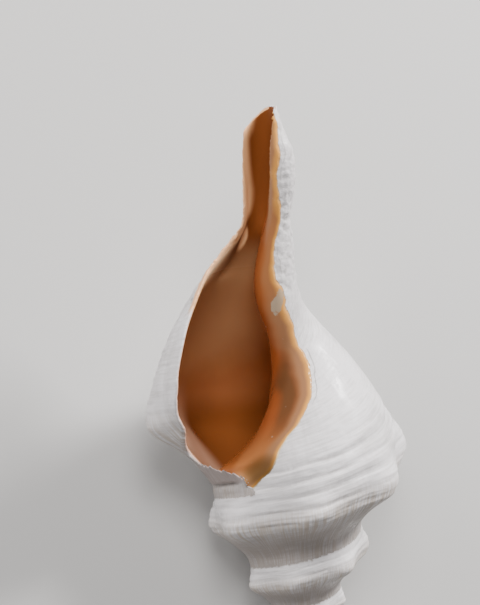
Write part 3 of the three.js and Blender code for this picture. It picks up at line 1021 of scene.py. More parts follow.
def write_values(mesh: bpy.types.Mesh, name: str, values: np.ndarray) -> None:
    """Stores one value for each point of a mesh as an attribute."""
    attribute = mesh.attributes.get(name) or mesh.attributes.new(name, "FLOAT", "POINT")
    attribute.data.foreach_set("value", np.asarray(values, np.float32))


def read_points(mesh: bpy.types.Mesh) -> np.ndarray:
    """Reads a mesh's points, one row each."""
    points = np.zeros(len(mesh.vertices) * 3, np.float32)
    mesh.vertices.foreach_get("co", points)
    return points.reshape(-1, 3).astype(float)


@dataclass
class SurfacePoints:
    """Where each point of a mesh lies on the shell: in its own frame, in millimetres and degrees.

    Outside says whether the point is on the outside, and wall is its distance to the wall's other side.
    """

    own: np.ndarray
    turn: np.ndarray
    station: np.ndarray
    radius: np.ndarray
    size: np.ndarray
    reach: np.ndarray
    outside: np.ndarray
    wall: np.ndarray

    @classmethod
    def read(cls, form: ShellForm, mesh: bpy.types.Mesh, place: np.ndarray) -> "SurfacePoints":
        """Finds where the points of a mesh lie.

        Args:
            form: The rule that the shell grew by.
            mesh: The mesh, with its face angles, surfaces and distances.
            place: Where the shell's own frame stands, in millimetres.

        Returns:
            The places of its points.
        """
        own = (read_points(mesh) / MM - place) @ form.turned(np.eye(3)).T
        flat_angle = np.degrees(np.arctan2(own[:, 0], own[:, 2]))
        turn = flat_angle + 360 * np.round((read_values(mesh, "face_angle") - flat_angle) / 360)
        station = form.length / 2 - own[:, 1]
        outside = read_values(mesh, "surface") < 0.5
        wall = np.where(outside, read_values(mesh, "to_inside"), read_values(mesh, "to_outside")) / MM
        radius = np.hypot(own[:, 0], own[:, 2])
        return cls(own, turn, station, radius, form.growth(turn), form.reach(turn, station), outside, wall)


@dataclass
class ShellMasks:
    """Where the glaze, the cords and the rough places lie, worked out for each point of the shell."""

    form: ShellForm
    glaze_reach: tuple = (
        227, 242, 252, 266, 276, 286, 306, 320, 338, 354, 374,
        403, 427, 440, 460, 472, 490, 512, 536, 552, 560, 600,
    )
    glaze_angles: tuple = (
        -30, -21, -14, -9, -3, 11, 28, 36, 41, 38, 27,
        6, -7, -12, -13, -4, 15, 10, 20, 21, 26, 40,
    )
    glaze_from_angle: float = -130
    glaze_edge_width: float = 1.6
    cord_from: float = 180
    cord_to: float = 262
    cord_fade: float = 12
    rough_station: float = 150
    rough_fade: float = 40
    rough_least: float = 0.15
    rim_width: float = 2.2
    throat_station: float = 122
    throat_spread: float = 38
    lip_side: float = 180
    lip_bands_from: float = 255
    lip_bands_fade: float = 40
    canal_deep_station: float = 120
    canal_deep_fade: float = 34
    deep: float = 40
    lip_end_size: float = 14
    flare_station: float = 138
    flare_fade: float = 22
    flare_width: float = 6
    pillar_reach: float = 1.2
    pillar_depth: float = 28
    ragged_waves: tuple = ((1.1, 53, 0.3), (0.6, 23, 2.1), (0.22, 9.1, 4.4))

    def ragged(self, along: np.ndarray) -> np.ndarray:
        """How far the glaze's edge strays, from waves that each have a height, a length and a start."""
        waves = self.ragged_waves
        return sum(height * np.sin(along / length * math.tau + start) for height, length, start in waves)

    def glaze_masks(self, at: SurfacePoints) -> dict[str, np.ndarray]:
        """Works out the glaze on the outside, how far into it a point lies, and the bare wall beside it.

        Args:
            at: Where the points lie.

        Returns:
            The masks by name. Inside, the depth tells the pillar from the rest.
        """
        form = self.form
        glaze_edge = look_up(self.glaze_reach, self.glaze_angles, at.reach)
        into_glaze = np.radians(glaze_edge - at.turn) * at.radius + self.ragged(at.reach * at.size)
        covered = (at.turn > self.glaze_from_angle) & (at.turn < self.lip_side)
        into_glaze = np.where((at.reach > form.covered_from_reach) & covered, into_glaze, -self.deep)
        glaze = np.where(at.outside, smooth_step(into_glaze / self.glaze_edge_width), 0)
        pillar_radius = form.outside_radius(at.turn - 360, at.station) + self.pillar_reach
        on_pillar = (at.turn > self.lip_side) & (at.radius < pillar_radius)
        inside_depth = np.where(on_pillar, self.pillar_depth, self.deep)
        return {
            "glaze": glaze,
            "glaze_depth": np.where(at.outside, into_glaze, inside_depth),
            "bare": np.where(at.outside, 1 - glaze, 0) * smooth_step(at.wall / self.rim_width),
        }

    def worn_masks(self, at: SurfacePoints, bare: np.ndarray) -> dict[str, np.ndarray]:
        """Works out where the bare wall has cords and where it is rough.

        Args:
            at: Where the points lie.
            bare: How bare the wall is at each.

        Returns:
            The masks by name.
        """
        canal = smooth_step((self.rough_station - at.station) / self.rough_fade)
        cords = smooth_step((at.reach - self.cord_from) / self.cord_fade)
        cords = cords * smooth_step((self.cord_to - at.reach) / self.cord_fade)
        return {
            "cords": cords * (1 - canal),
            "rough": bare * (self.rough_least + (1 - self.rough_least) * canal),
        }

    def hollow_masks(self, at: SurfacePoints) -> dict[str, np.ndarray]:
        """Works out where the throat and the deep of the canal are, on the inside."""
        throat = smooth_step((at.wall - self.rim_width) / self.rim_width)
        throat = throat * np.exp(-(((at.station - self.throat_station) / self.throat_spread) ** 2))
        canal_deep = smooth_step((self.canal_deep_station - at.station) / self.canal_deep_fade)
        return {
            "throat": np.where(at.outside, 0, throat),
            "canal_deep": np.where(at.outside, 0, canal_deep),
        }

    def lip_end(self) -> np.ndarray:
        """The point at which the lip meets the turn before it, in the shell's own frame."""
        form = self.form
        angle = OutsideSheet.lip_angles[0]
        station = form.length - float(form.growth(angle)) * form.suture_reach
        radius = float(form.outside_radius(angle, station)[0])
        return form.rolled_up(np.array([[angle, station, radius]]))[0]

    def lip_masks(self, at: SurfacePoints) -> dict[str, np.ndarray]:
        """Works out what follows the lip: its bands, its rim and the flare beside the canal.

        Args:
            at: Where the points lie.

        Returns:
            The masks by name, and how far into the lip a point lies.
        """
        lip_line = look_up(OutsideSheet.lip_reach, OutsideSheet.lip_angles, at.reach)
        to_lip = np.abs(np.radians(lip_line - at.turn)) * at.radius
        to_lip = np.where(at.turn > self.lip_side, to_lip, self.deep)
        rim = np.where(at.turn > self.lip_side, 1 - smooth_step(at.wall / self.rim_width), 0)
        near_end = 1 - smooth_step(np.linalg.norm(at.own - self.lip_end(), axis=1) / self.lip_end_size)
        flared = smooth_step((self.flare_station - at.station) / self.flare_fade)
        flared = flared * smooth_step((self.flare_width - to_lip) / self.rim_width)
        return {
            "into_lip": np.where(at.outside, self.deep, to_lip),
            "lip": smooth_step((at.turn - self.lip_bands_from) / self.lip_bands_fade),
            "rim": np.maximum(rim, near_end),
            "rim_tint": np.maximum(rim, np.where(at.outside, flared, 0)),
        }

    def write(self, mesh: bpy.types.Mesh, place: np.ndarray) -> None:
        """Works the masks out and stores them on the mesh.

        Args:
            mesh: The even mesh, with its face angles, surfaces and distances.
            place: Where the shell's own frame stands, in millimetres.
        """
        at = SurfacePoints.read(self.form, mesh, place)
        masks = {"turn": at.turn, "reach": at.reach, "size": at.size, "station": at.station}
        masks.update(self.glaze_masks(at))
        masks.update(self.worn_masks(at, masks["bare"]))
        masks.update(self.hollow_masks(at))
        masks.update(self.lip_masks(at))
        for name, values in masks.items():
            write_values(mesh, name, values)


@dataclass(frozen=True)
class Tint:
    """A colour that is laid over another where a value runs from the first of two ends to the second."""

    colour: tuple
    ends: tuple
    share: float = 1


@dataclass(frozen=True)
class Spot:
    """A soft spot on the surface: its turn and reach, and its half size in each."""

    turn: float
    reach: float
    half_turn: float
    half_reach: float


def soft_spot() -> bpy.types.NodeTree:
    """Makes the shader group of a soft spot: 1 in its middle, and 0 from its edge on."""
    names = ("Turn", "Reach", "Middle Turn", "Middle Reach", "Half Turn", "Half Reach")
    tree = new_tree(
        "Soft spot", "ShaderNodeTree", [(name, "NodeSocketFloat", 1.0) for name in names],
        [("Amount", "NodeSocketFloat")],
    )
    nodes = Nodes(tree)
    given = nodes.given()
    squares = []
    for way in ("Turn", "Reach"):
        away = nodes.minus(given[way], given[f"Middle {way}"])
        ratio = nodes.math("DIVIDE", away, given[f"Half {way}"])
        squares.append(nodes.times(ratio, ratio))
    nodes.add("NodeGroupOutput", {0: nodes.fade(nodes.plus(*squares), (1.0, 0.0))})
    return tree


class FinishNodes(Nodes):
    """The nodes of the shell's material, with the noises that more than one of its layers reads."""

    line_pattern: tuple = (0.9, 0.03)
    thread_pattern: tuple = (0.05, 0.5)
    cloud_scale: float = 22.0
    grain_scale: float = 420.0
    ramp_reach: tuple = (214.0, 186.0)

    def __init__(self, tree: bpy.types.NodeTree) -> None:
        """Keeps the tree and adds the shared noises, between 0 and 1, and the mask of the ramp."""
        super().__init__(tree)
        self.spot_group = soft_spot()
        self.place = self.add("ShaderNodeTexCoord").outputs["Object"]
        self.lines = self.noise(self.pattern(self.line_pattern), 1.0, 3.0)
        self.threads = self.noise(self.pattern(self.thread_pattern), 1.0, 3.0)
        self.clouds = self.noise(self.place, self.cloud_scale, 4.0)
        self.grain = self.noise(self.place, self.grain_scale, 3.0)
        self.on_ramp = self.fade(self.read("reach"), self.ramp_reach)

    def noise(self, vector: object, scale: float, detail: float) -> Socket:
        """Noise between 0 and 1."""
        return self.add("ShaderNodeTexNoise", {"Vector": vector, "Scale": scale, "Detail": detail}).outputs[0]

    def strays(self, scale: float, detail: float, width: float) -> Socket:
        """Noise about 0, over a width."""
        return self.times(self.minus(self.noise(self.place, scale, detail), 0.5), width)

    def mix(self, share: object, low: object, high: object) -> Socket:
        """A colour between two."""
        return self.add("ShaderNodeMix", {0: share, 6: low, 7: high}, data_type="RGBA").outputs[2]

    def tinted(self, base: object, tint: Tint, value: object, *shares: object) -> Socket:
        """Lays a tint over a colour.

        Args:
            base: The colour under it.
            tint: The tint.
            value: What the tint's ends are values of.
            shares: Masks that the tint is kept to.

        Returns:
            The colour with the tint over it.
        """
        amount = self.times(self.fade(value, tint.ends), *shares)
        if tint.share < 1:
            amount = self.times(amount, tint.share)
        return self.mix(amount, base, tint.colour)

    def spot(self, spot: Spot) -> Socket:
        """How much of a soft spot there is."""
        inputs = {
            "Turn": self.read("turn"), "Middle Turn": spot.turn, "Half Turn": spot.half_turn,
            "Reach": self.read("reach"), "Middle Reach": spot.reach, "Half Reach": spot.half_reach,
        }
        return self.add("ShaderNodeGroup", inputs, node_tree=self.spot_group).outputs[0]


@dataclass(frozen=True)
class ChalkLook:
    """The bare wall outside: chalky white, with stains, a painted shadow line of a crack beside the glaze,
    darker grooves and pits, and painted shade on the ramp under the shoulder.
    """

    chalk: tuple = (0.84, 0.81, 0.82, 1)
    stain: Tint = Tint((0.60, 0.575, 0.57, 1), (0.6, 0.34))
    stain_threads: float = 0.45
    stain_clouds: float = 0.55
    beige_lines: Tint = Tint((0.56, 0.48, 0.40, 1), (0.38, 0.6), 0.85)
    # Painted shadow: a dark broken line just outside the glaze's edge, standing for the shadow in a crack.
    crack_shadow: Tint = Tint((0.16, 0.15, 0.13, 1), (0.7, 0.1), 0.6)
    crack_from_glaze: float = 3.0
    crack_scale: float = 90.0
    crack_width: float = 5.0
    crack_clouds: tuple = (0.44, 0.54)
    flange: Tint = Tint((0.60, 0.47, 0.45, 1), (170, 162), 0.8)
    flange_turn: tuple = (276, 290)
    flange_start: tuple = (149, 151)
    # The grooves and pits are painted darker; in the groove under the flange this darkening is painted shade.
    groove: Tint = Tint((0.33, 0.31, 0.30, 1), (0.5, 2.2))
    rough: Tint = Tint((0.60, 0.575, 0.57, 1), (0.3, 0.9), 0.6)
    pit: Tint = Tint((0.33, 0.31, 0.30, 1), (-0.08, -0.6), 0.75)
    # Painted shade: the ramp under the shoulder is painted darker, as if in the shoulder's shadow.
    ramp: Tint = Tint((0.28, 0.24, 0.22, 1), (192, 165), 0.6)

    def colour(self, nodes: FinishNodes) -> Socket:
        """The colour of the bare wall."""
        turn, reach = nodes.read("turn"), nodes.read("reach")
        threads = nodes.times(nodes.threads, self.stain_threads)
        clouds = nodes.times(nodes.clouds, self.stain_clouds)
        colour = nodes.tinted(self.chalk, self.stain, nodes.plus(threads, clouds))
        colour = nodes.tinted(colour, self.beige_lines, nodes.lines, nodes.on_ramp)
        # Painted shadow line of a crack, a little outside the glaze's edge.
        strays = nodes.strays(self.crack_scale, 2.0, self.crack_width)
        beside = nodes.math("ABSOLUTE", nodes.plus(nodes.read("glaze_depth"), strays, self.crack_from_glaze))
        colour = nodes.tinted(colour, self.crack_shadow, beside, nodes.fade(nodes.clouds, self.crack_clouds))
        kept_to = (nodes.fade(turn, self.flange_turn), nodes.fade(reach, self.flange_start))
        colour = nodes.tinted(colour, self.flange, reach, *kept_to)
        # Darker in the grooves, the rough places and the pits, with painted shade in the groove under the
        # flange.
        for tint, name in ((self.groove, "groove"), (self.rough, "rough"), (self.pit, "pit")):
            colour = nodes.tinted(colour, tint, nodes.read(name))
        # Painted shade on the ramp under the shoulder.
        return nodes.tinted(colour, self.ramp, reach)


@dataclass(frozen=True)
class RoomLook:
    """The inside of the mouth and the canal: orange, with a pale lip, a bright band in its flare that is
    partly painted light, painted shade further in and deep in the canal, and painted light in its upper part,
    on the flare and beside the lip.
    """

    orange: tuple = (0.56, 0.25, 0.10, 1)
    patches: Tint = Tint((0.38, 0.13, 0.04, 1), (0.3, 0.7))
    patch_scale: float = 16.0
    # Painted shade: the chamber is painted darker further in, in two steps.
    middle: Tint = Tint((0.45, 0.165, 0.06, 1), (175, 200))
    low: Tint = Tint((0.27, 0.085, 0.023, 1), (200, 225))
    # Painted light: the chamber's upper part is painted lighter.
    painted_upper_light: Tint = Tint((0.62, 0.33, 0.16, 1), (195, 150))
    # Painted shade: the dark brown laid deep in the canal's trough.
    canal: tuple = (0.17, 0.048, 0.012, 1)
    flare: tuple = (0.90, 0.49, 0.24, 1)
    # Painted light: the flare's wider part is painted brighter, as if lit.
    painted_flare_light: Tint = Tint((1.0, 0.72, 0.46, 1), (78, 100))
    band_depth: tuple = (11.5, 5.5)
    band_neck: tuple = (55, 85)
    band_neck_loss: float = 0.5
    band_widening: tuple = (88, 120)
    band_widening_gain: float = 1.9
    band_canal: tuple = (86, 70)
    band_turn: tuple = (260, 269)
    band_end: tuple = (150, 124)
    # Painted light: a lighter band on the inner wall beside the lip.
    painted_lip_light: Tint = Tint((0.74, 0.45, 0.30, 1), (235, 253))
    painted_lip_light_reach: tuple = (238, 200)

    def band(self, nodes: FinishNodes) -> Socket:
        """How much of the flare's bright band there is: narrow at the neck, wide beside the mouth. The band
        is partly the lip's own paler colour and partly painted light.
        """
        station = nodes.read("station")
        neck = nodes.minus(1.0, nodes.times(nodes.fade(station, self.band_neck), self.band_neck_loss))
        widening = nodes.times(nodes.fade(station, self.band_widening), self.band_widening_gain)
        depth = nodes.math("DIVIDE", nodes.read("into_lip"), nodes.plus(widening, neck))
        on_lip_side = nodes.fade(nodes.read("turn"), self.band_turn)
        lip_side = nodes.math("MAXIMUM", nodes.fade(station, self.band_canal), on_lip_side)
        return nodes.times(nodes.fade(depth, self.band_depth), lip_side, nodes.fade(station, self.band_end))

    def colour(self, nodes: FinishNodes) -> Socket:
        """The colour of the inside."""
        station = nodes.read("station")
        colour = nodes.tinted(self.orange, self.patches, nodes.noise(nodes.place, self.patch_scale, 3.0))
        # Painted shade further into the chamber, and painted light in its upper part.
        for tint in (self.middle, self.low, self.painted_upper_light):
            colour = nodes.tinted(colour, tint, station)
        # Painted shade deep in the canal.
        colour = nodes.mix(nodes.read("canal_deep"), colour, self.canal)
        # The flare's bright band, with painted light on its wider part.
        colour = nodes.mix(self.band(nodes), colour, nodes.tinted(self.flare, self.painted_flare_light, station))
        # Painted light band on the inner wall beside the lip.
        by_reach = nodes.fade(nodes.read("reach"), self.painted_lip_light_reach)
        return nodes.tinted(colour, self.painted_lip_light, nodes.read("turn"), by_reach)


@dataclass(frozen=True)
class GlazeLook:
    """The glaze over the turn before: peach and brown, with a painted dark reflection, a spot of painted
    shade, a cream edge and worn spots.
    """

    peach: tuple = (0.235, 0.063, 0.018, 1)
    mid_peach: Tint = Tint((0.34, 0.125, 0.04, 1), (300, 265))
    low_peach: Tint = Tint((0.68, 0.36, 0.15, 1), (258, 242))
    pale: Tint = Tint((0.29, 0.15, 0.075, 1), (14, 6), 0.8)
    # Painted reflection: a soft dark grey stripe along the glaze.
    dark_reflection: Tint = Tint((0.10, 0.046, 0.02, 1), (9, 2), 0.9)
    dark_reflection_depth: float = 15.5
    dark_reflection_spot: Spot = Spot(10, 318, 70, 52)
    # Painted shade: a soft darker spot on the glaze.
    painted_shade_spot: Spot = Spot(0, 465, 90, 62)
    painted_shade_share: float = 0.6
    fringe: Tint = Tint((0.62, 0.28, 0.06, 1), (5, 1))
    cream: Tint = Tint((0.85, 0.72, 0.46, 1), (1.6, 0.2))
    cream_reach: tuple = (292, 276)
    cream_gain: float = 0.8
    cream_least: float = 0.15
    olive: tuple = (0.10, 0.05, 0.016, 1)
    olive_spot: Spot = Spot(-23, 250, 18, 19)
    olive_share: float = 0.85
    flake: Tint = Tint((0.36, 0.30, 0.22, 1), (0.45, 0.8), 0.8)
    flake_spot: Spot = Spot(-10, 413, 24, 17)
    flake_scale: float = 200.0
    flake_strays: float = 2.4

    def colour(self, nodes: FinishNodes) -> Socket:
        """The colour of the glaze."""
        reach, depth = nodes.read("reach"), nodes.read("glaze_depth")
        colour = nodes.tinted(self.peach, self.mid_peach, reach)
        colour = nodes.tinted(colour, self.low_peach, reach)
        colour = nodes.tinted(colour, self.pale, depth)
        # Painted reflection: the dark stripe along the glaze.
        from_dark_reflection = nodes.math("ABSOLUTE", nodes.minus(depth, self.dark_reflection_depth))
        colour = nodes.tinted(colour, self.dark_reflection, from_dark_reflection, nodes.spot(self.dark_reflection_spot))
        # Painted shade: a soft darker spot on the glaze.
        painted_shade = nodes.times(nodes.spot(self.painted_shade_spot), self.painted_shade_share)
        colour = nodes.mix(painted_shade, colour, self.mid_peach.colour)
        colour = nodes.tinted(colour, self.fringe, depth)
        low_end = nodes.times(nodes.fade(reach, self.cream_reach), self.cream_gain)
        colour = nodes.tinted(colour, self.cream, depth, nodes.plus(low_end, self.cream_least))
        olive = nodes.times(nodes.spot(self.olive_spot), self.olive_share)
        colour = nodes.mix(olive, colour, self.olive)
        strays = nodes.strays(self.flake_scale, 3.0, self.flake_strays)
        return nodes.tinted(colour, self.flake, nodes.plus(nodes.spot(self.flake_spot), strays))


@dataclass(frozen=True)
class ShellFinish:
    """Chalky white outside, polished peach-orange inside, with a pale rim."""

    chalk: ChalkLook = ChalkLook()
    room: RoomLook = RoomLook()
    glaze: GlazeLook = GlazeLook()
    glaze_edge: tuple = (-0.25, 0.25)
    glaze_edge_grain: float = 1.6
    room_depth: tuple = (30, 38)
    rim: tuple = (0.88, 0.55, 0.40, 1)
    rim_edge: tuple = (0.05, 0.5)
    rim_share: float = 0.95
    rim_to_flare: tuple = (170, 130)
    specular: float = 0.22
    outside_roughness: float = 0.2
    cloud_roughness: float = 0.3
    cloud_edge: tuple = (0.62, 0.5)
    inside_roughness: float = 0.2
    canal_roughness: float = 0.35
    line_height: float = 0.12
    ramp_line_height: float = 0.8
    thread_height: float = 0.12
    lump_height: float = 1.2
    lump_scale: float = 70.0
    grain_height: float = 0.12
    rough_grain_height: float = 0.9
    bump_strength: float = 0.7
    bump_distance: float = 0.0006

    def glazed(self, nodes: FinishNodes) -> Socket:
        """How much glaze there is, with a grainy edge."""
        grain = nodes.times(nodes.minus(nodes.grain, 0.5), self.glaze_edge_grain)
        return nodes.fade(nodes.plus(nodes.read("glaze_depth"), grain), self.glaze_edge)

    def colour(self, nodes: FinishNodes, glazed: Socket) -> Socket:
        """The colour of the whole shell: bare wall, glaze, inside and rim."""
        hollow = nodes.fade(nodes.read("glaze_depth"), self.room_depth)
        polished = nodes.mix(hollow, self.glaze.colour(nodes), self.room.colour(nodes))
        colour = nodes.mix(glazed, self.chalk.colour(nodes), polished)
        beside_canal = nodes.fade(nodes.read("station"), self.rim_to_flare)
        rim_colour = nodes.mix(beside_canal, self.rim, self.room.flare)
        on_rim = nodes.times(nodes.fade(nodes.read("rim_tint"), self.rim_edge), self.rim_share)
        return nodes.mix(on_rim, colour, rim_colour)

    def roughness(self, nodes: FinishNodes, glazed: Socket) -> Socket:
        """The roughness: dull outside, polished inside, and duller again deep in the canal."""
        clouds = nodes.times(nodes.fade(nodes.clouds, self.cloud_edge), self.cloud_roughness)
        dull = nodes.plus(clouds, self.outside_roughness)
        canal = nodes.times(nodes.read("canal_deep"), self.canal_roughness)
        polish = nodes.plus(canal, self.inside_roughness)
        return nodes.add("ShaderNodeMix", {0: glazed, 2: dull, 3: polish}, data_type="FLOAT").outputs[0]

    def height(self, nodes: FinishNodes, glazed: Socket) -> Socket:
        """The height of the finest relief, which only the bare wall has."""
        line_height = nodes.plus(nodes.times(nodes.on_ramp, self.ramp_line_height), self.line_height)
        on_rough = nodes.times(nodes.read("rough"), self.rough_grain_height)
        grain_height = nodes.plus(on_rough, self.grain_height)
        ridges = nodes.plus(
            nodes.times(nodes.lines, line_height),
            nodes.times(nodes.threads, self.thread_height),
            nodes.times(nodes.noise(nodes.place, self.lump_scale, 2.0), self.lump_height),
            nodes.times(nodes.grain, grain_height),
        )
        return nodes.times(ridges, nodes.minus(1.0, glazed))

    def make(self) -> bpy.types.Material:
        """Builds the material."""
        material = bpy.data.materials.new("shell")
        material.use_nodes = True
        shader = material.node_tree.nodes["Principled BSDF"]
        nodes = FinishNodes(material.node_tree)
        glazed = self.glazed(nodes)
        height = self.height(nodes, glazed)
        inputs = {"Strength": self.bump_strength, "Distance": self.bump_distance, "Height": height}
        bump = nodes.add("ShaderNodeBump", inputs)
        nodes.feed(shader.inputs["Base Color"], self.colour(nodes, glazed))
        nodes.feed(shader.inputs["Roughness"], self.roughness(nodes, glazed))
        nodes.feed(shader.inputs["Normal"], bump.outputs[0])
        shader.inputs["Specular IOR Level"].default_value = self.specular
        return material


@dataclass
class ConchShell:
    """The shell: the rolled and cut form, its fine relief and its finish.

    Place is where the shell's own frame stands, in millimetres. It is known once the shell is made.
    """

    form: ShellForm = field(default_factory=ShellForm)
    finish: ShellFinish = field(default_factory=ShellFinish)
    place: np.ndarray = field(default_factory=lambda: np.zeros(3))
    voxel: float = 0.95
    triangle_limit: int = 195000
    finish_masks: tuple = (
        "turn", "reach", "station", "rim_tint", "glaze_depth",
        "rough", "into_lip", "canal_deep", "groove", "pit",
    )

    def find_place(self, outside: Sheet) -> np.ndarray:
        """Finds where the shell's own frame stands, so that the shell's box is the CAD's.

        Args:
            outside: The unrolled outside.

        Returns:
            The offset that follows the turning, in millimetres.
        """
        turned = self.form.turned(self.form.rolled_up(outside.points()))
        low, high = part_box("shell")
        middle = (turned.min(axis=0) + turned.max(axis=0)) / 2
        centre = np.array((low + high) / 2) / MM
        offset = centre - middle
        offset[2] = -turned[:, 2].min() - self.form.worn_depth
        return offset

    def cut_form(self, outside: Sheet, material: bpy.types.Material) -> bpy.types.Object:
        """Rolls the sheets up and cuts the hollows out.

        Args:
            outside: The unrolled outside.
            material: The finish.

        Returns:
            The cut form, whose faces know their angle and surface.
        """
        body = outside.to_object("outside_sheet")
        chamber = ChamberSheet(self.form).make().to_object("chamber_sheet")
        trough = TroughSheet(self.form).make().to_object("trough_sheet")
        modifier = body.modifiers.new("Coil", "NODES")
        modifier.node_group = CoilTree(self.form).make()
        set_input(modifier, "Chamber", chamber)
        set_input(modifier, "Trough", trough)
        set_input(modifier, "Length", self.form.length * MM)
        set_input(modifier, "Roll", math.radians(self.form.roll))
        set_input(modifier, "Pitch", math.radians(self.form.pitch))
        set_input(modifier, "Place", [float(v) * MM for v in self.place])
        set_input(modifier, "Material", material)
        solid = evaluated_copy(body, "cut_form")
        for sheet in (chamber, trough):
            bpy.data.objects.remove(sheet)
        return solid

    def carried(
        self, target: bpy.types.Object, source: bpy.types.Object, tree: CarryTree, name: str,
    ) -> bpy.types.Object:
        """Carries attributes over from one object to another.

        Args:
            target: The object that takes them.
            source: The object that has them, which is removed.
            tree: The nodes that carry them.
            name: The new object's name.

        Returns:
            The new object.
        """
        modifier = target.modifiers.new("Carry", "NODES")
        modifier.node_group = tree.make()
        set_input(modifier, "Source", source)
        set_input(modifier, "Material", source.data.materials[0])
        made = evaluated_copy(target, name)
        bpy.data.objects.remove(source)
        return made

    def copy_of(self, source: bpy.types.Object) -> bpy.types.Object:
        """A second object with a mesh of its own."""
        made = source.copy()
        made.data = source.data.copy()
        bpy.context.scene.collection.objects.link(made)
        return made

    def evened(self, solid: bpy.types.Object) -> bpy.types.Object:
        """Makes the cut form an even fine mesh, and carries its angles and surfaces over."""
        even = self.copy_of(solid)
        remesh = even.modifiers.new("Even", "REMESH")
        remesh.mode = "VOXEL"
        remesh.voxel_size = self.voxel * MM
        even = evaluated_copy(even, "even")
        return self.carried(even, solid, CarryTree(), "even_masks")

    def raised(self, even: bpy.types.Object, material: bpy.types.Material) -> bpy.types.Object:
        """Raises the relief on the even mesh, inside the CAD's box."""
        relief = even.modifiers.new("Relief", "NODES")
        relief.node_group = ReliefTree().make()
        set_input(relief, "Material", material)
        for title, corner in zip(("Low Corner", "High Corner"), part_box("shell")):
            set_input(relief, title, [float(v) for v in corner])
        return evaluated_copy(even, "fine")

    def lightened(self, fine: bpy.types.Object) -> bpy.types.Object:
        """Brings the fine mesh down to the limit of triangles, and carries the finish's masks over."""
        light = self.copy_of(fine)
        decimate = light.modifiers.new("Lighten", "DECIMATE")
        decimate.ratio = self.triangle_limit / (2 * len(fine.data.polygons))
        light = evaluated_copy(light, "light")
        return self.carried(light, fine, CarryTree(self.finish_masks, False), "conch_shell")

    def make(self) -> bpy.types.Object:
        """Builds the shell and returns the finished object."""
        material = self.finish.make()
        outside = OutsideSheet(self.form).make()
        self.place = self.find_place(outside)
        solid = self.cut_form(outside, material)
        LOG.info("cut form: %d faces", len(solid.data.polygons))
        even = self.evened(solid)
        LOG.info("even mesh: %d faces", len(even.data.polygons))
        ShellMasks(self.form).write(even.data, self.place)
        fine = self.raised(even, material)
        LOG.info("fine mesh: %d faces", len(fine.data.polygons))
        shell = self.lightened(fine)
        shell.data.materials.clear()
        shell.data.materials.append(material)
        shell.data.polygons.foreach_set("material_index", np.zeros(len(shell.data.polygons), np.int32))
        shell.data.shade_smooth()
        return shell


@dataclass(frozen=True)
class SoftLight:
    """A square light that faces the shell, with its place and side in metres and its power in watts."""

    name: str
    where: tuple
    side: float
    power: float
    colour: tuple = (1, 0.98, 0.97)
    mirrored: bool = False

    def make(self) -> bpy.types.Object:
        """Adds the light. One that isn't mirrored leaves no glint on the glaze."""
        data = bpy.data.lights.new(self.name, "AREA")
        data.size = self.side
        data.energy = self.power
        data.color = self.colour
        light = bpy.data.objects.new(self.name, data)
        light.location = self.where
        light.rotation_mode = "QUATERNION"
        light.rotation_quaternion = (-Vector(self.where)).to_track_quat("-Z", "Y")
        light.visible_glossy = self.mirrored
        bpy.context.scene.collection.objects.link(light)
        return light


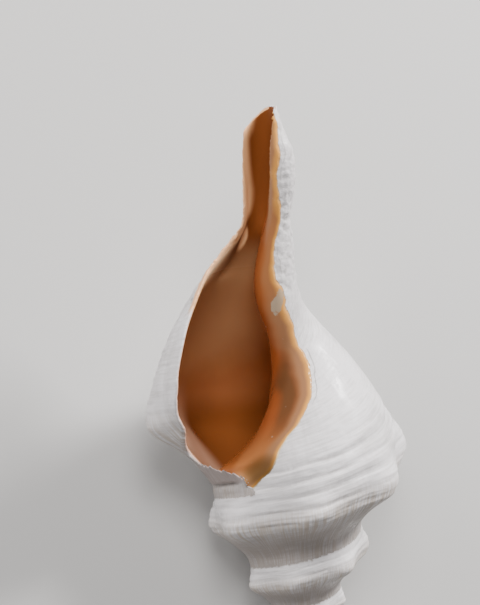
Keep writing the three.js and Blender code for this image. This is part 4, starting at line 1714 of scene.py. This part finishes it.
@dataclass
class Studio:
    """A pale floor, soft lights and the camera, at the photograph's viewing angle."""

    form: ShellForm
    place: np.ndarray
    tilt: float = 10
    spin: float = 3.9
    distance: float = 1600
    millimetres_per_pixel: float = 0.69
    axis_middle_x: float = 288.5
    axis_middle_y: float = 396.5
    sensor: float = 36
    floor_size: float = 6
    floor_colour: tuple = (0.52, 0.515, 0.505, 1)
    floor_roughness: float = 0.9
    lights: tuple = (
        SoftLight("key", (1.3, 0.95, 1.1), 0.45, 76, mirrored=True),
        SoftLight("front", (-0.3, 0.5, 1.9), 0.8, 30),
        SoftLight("fill", (-1.3, 0.9, 1.1), 1.0, 24, (1, 0.98, 0.98)),
    )
    sky_colour: tuple = (0.9, 0.92, 0.95, 1)
    sky_strength: float = 0.13

    def camera(self) -> bpy.types.Object:
        """Makes the camera and aims it so that the picture's middle is the photograph's."""
        spin = Matrix.Rotation(math.radians(self.spin), 3, "Z")
        tilt = Matrix.Rotation(math.radians(self.tilt), 3, "X")
        axes = self.form.turned(np.array(spin @ tilt))
        right, up, back = (Vector(axis) for axis in axes)
        focal = self.distance / self.millimetres_per_pixel
        off_x = PICTURE_WIDTH / 2 - self.axis_middle_x
        off_y = self.axis_middle_y - PICTURE_HEIGHT / 2
        aim = (right * off_x + up * off_y - back * focal).normalized()
        sideways = aim.cross(up).normalized()
        upward = sideways.cross(aim)
        data = bpy.data.cameras.new("camera")
        data.sensor_width = self.sensor
        data.lens = math.sqrt(focal**2 + off_x**2 + off_y**2) * self.sensor / PICTURE_HEIGHT
        camera = bpy.data.objects.new("camera", data)
        rotation = Matrix((sideways, upward, -aim)).transposed().to_4x4()
        where = (Vector(self.place) + back * self.distance) * MM
        camera.matrix_world = Matrix.Translation(where) @ rotation
        bpy.context.scene.collection.objects.link(camera)
        bpy.context.scene.camera = camera
        return camera

    def floor(self) -> bpy.types.Object:
        """Makes the pale floor."""
        half = self.floor_size / 2
        corners = [(-half, -half, 0), (half, -half, 0), (half, half, 0), (-half, half, 0)]
        mesh = bpy.data.meshes.new("floor")
        mesh.from_pydata(corners, [], [(0, 1, 2, 3)])
        floor = bpy.data.objects.new("floor", mesh)
        material = bpy.data.materials.new("floor")
        material.use_nodes = True
        shader = material.node_tree.nodes["Principled BSDF"]
        shader.inputs["Base Color"].default_value = self.floor_colour
        shader.inputs["Roughness"].default_value = self.floor_roughness
        mesh.materials.append(material)
        bpy.context.scene.collection.objects.link(floor)
        return floor

    def sky(self) -> bpy.types.World:
        """Makes the faint even light from all round."""
        world = bpy.data.worlds.new("studio")
        world.use_nodes = True
        background = world.node_tree.nodes["Background"]
        background.inputs["Color"].default_value = self.sky_colour
        background.inputs["Strength"].default_value = self.sky_strength
        bpy.context.scene.world = world
        return world

    def make(self) -> None:
        """Builds the studio."""
        self.camera()
        self.floor()
        for light in self.lights:
            light.make()
        self.sky()


def main() -> None:
    """Builds the shell and the studio."""
    logging.basicConfig(level=logging.INFO, format="%(message)s")
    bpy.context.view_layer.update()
    shell = ConchShell()
    piece = shell.make()
    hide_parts("shell")
    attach(piece, "root")
    LOG.info("%s: %d faces", piece.name, len(piece.data.polygons))
    Studio(shell.form, shell.place).make()


if __name__ == "__main__":
    main()
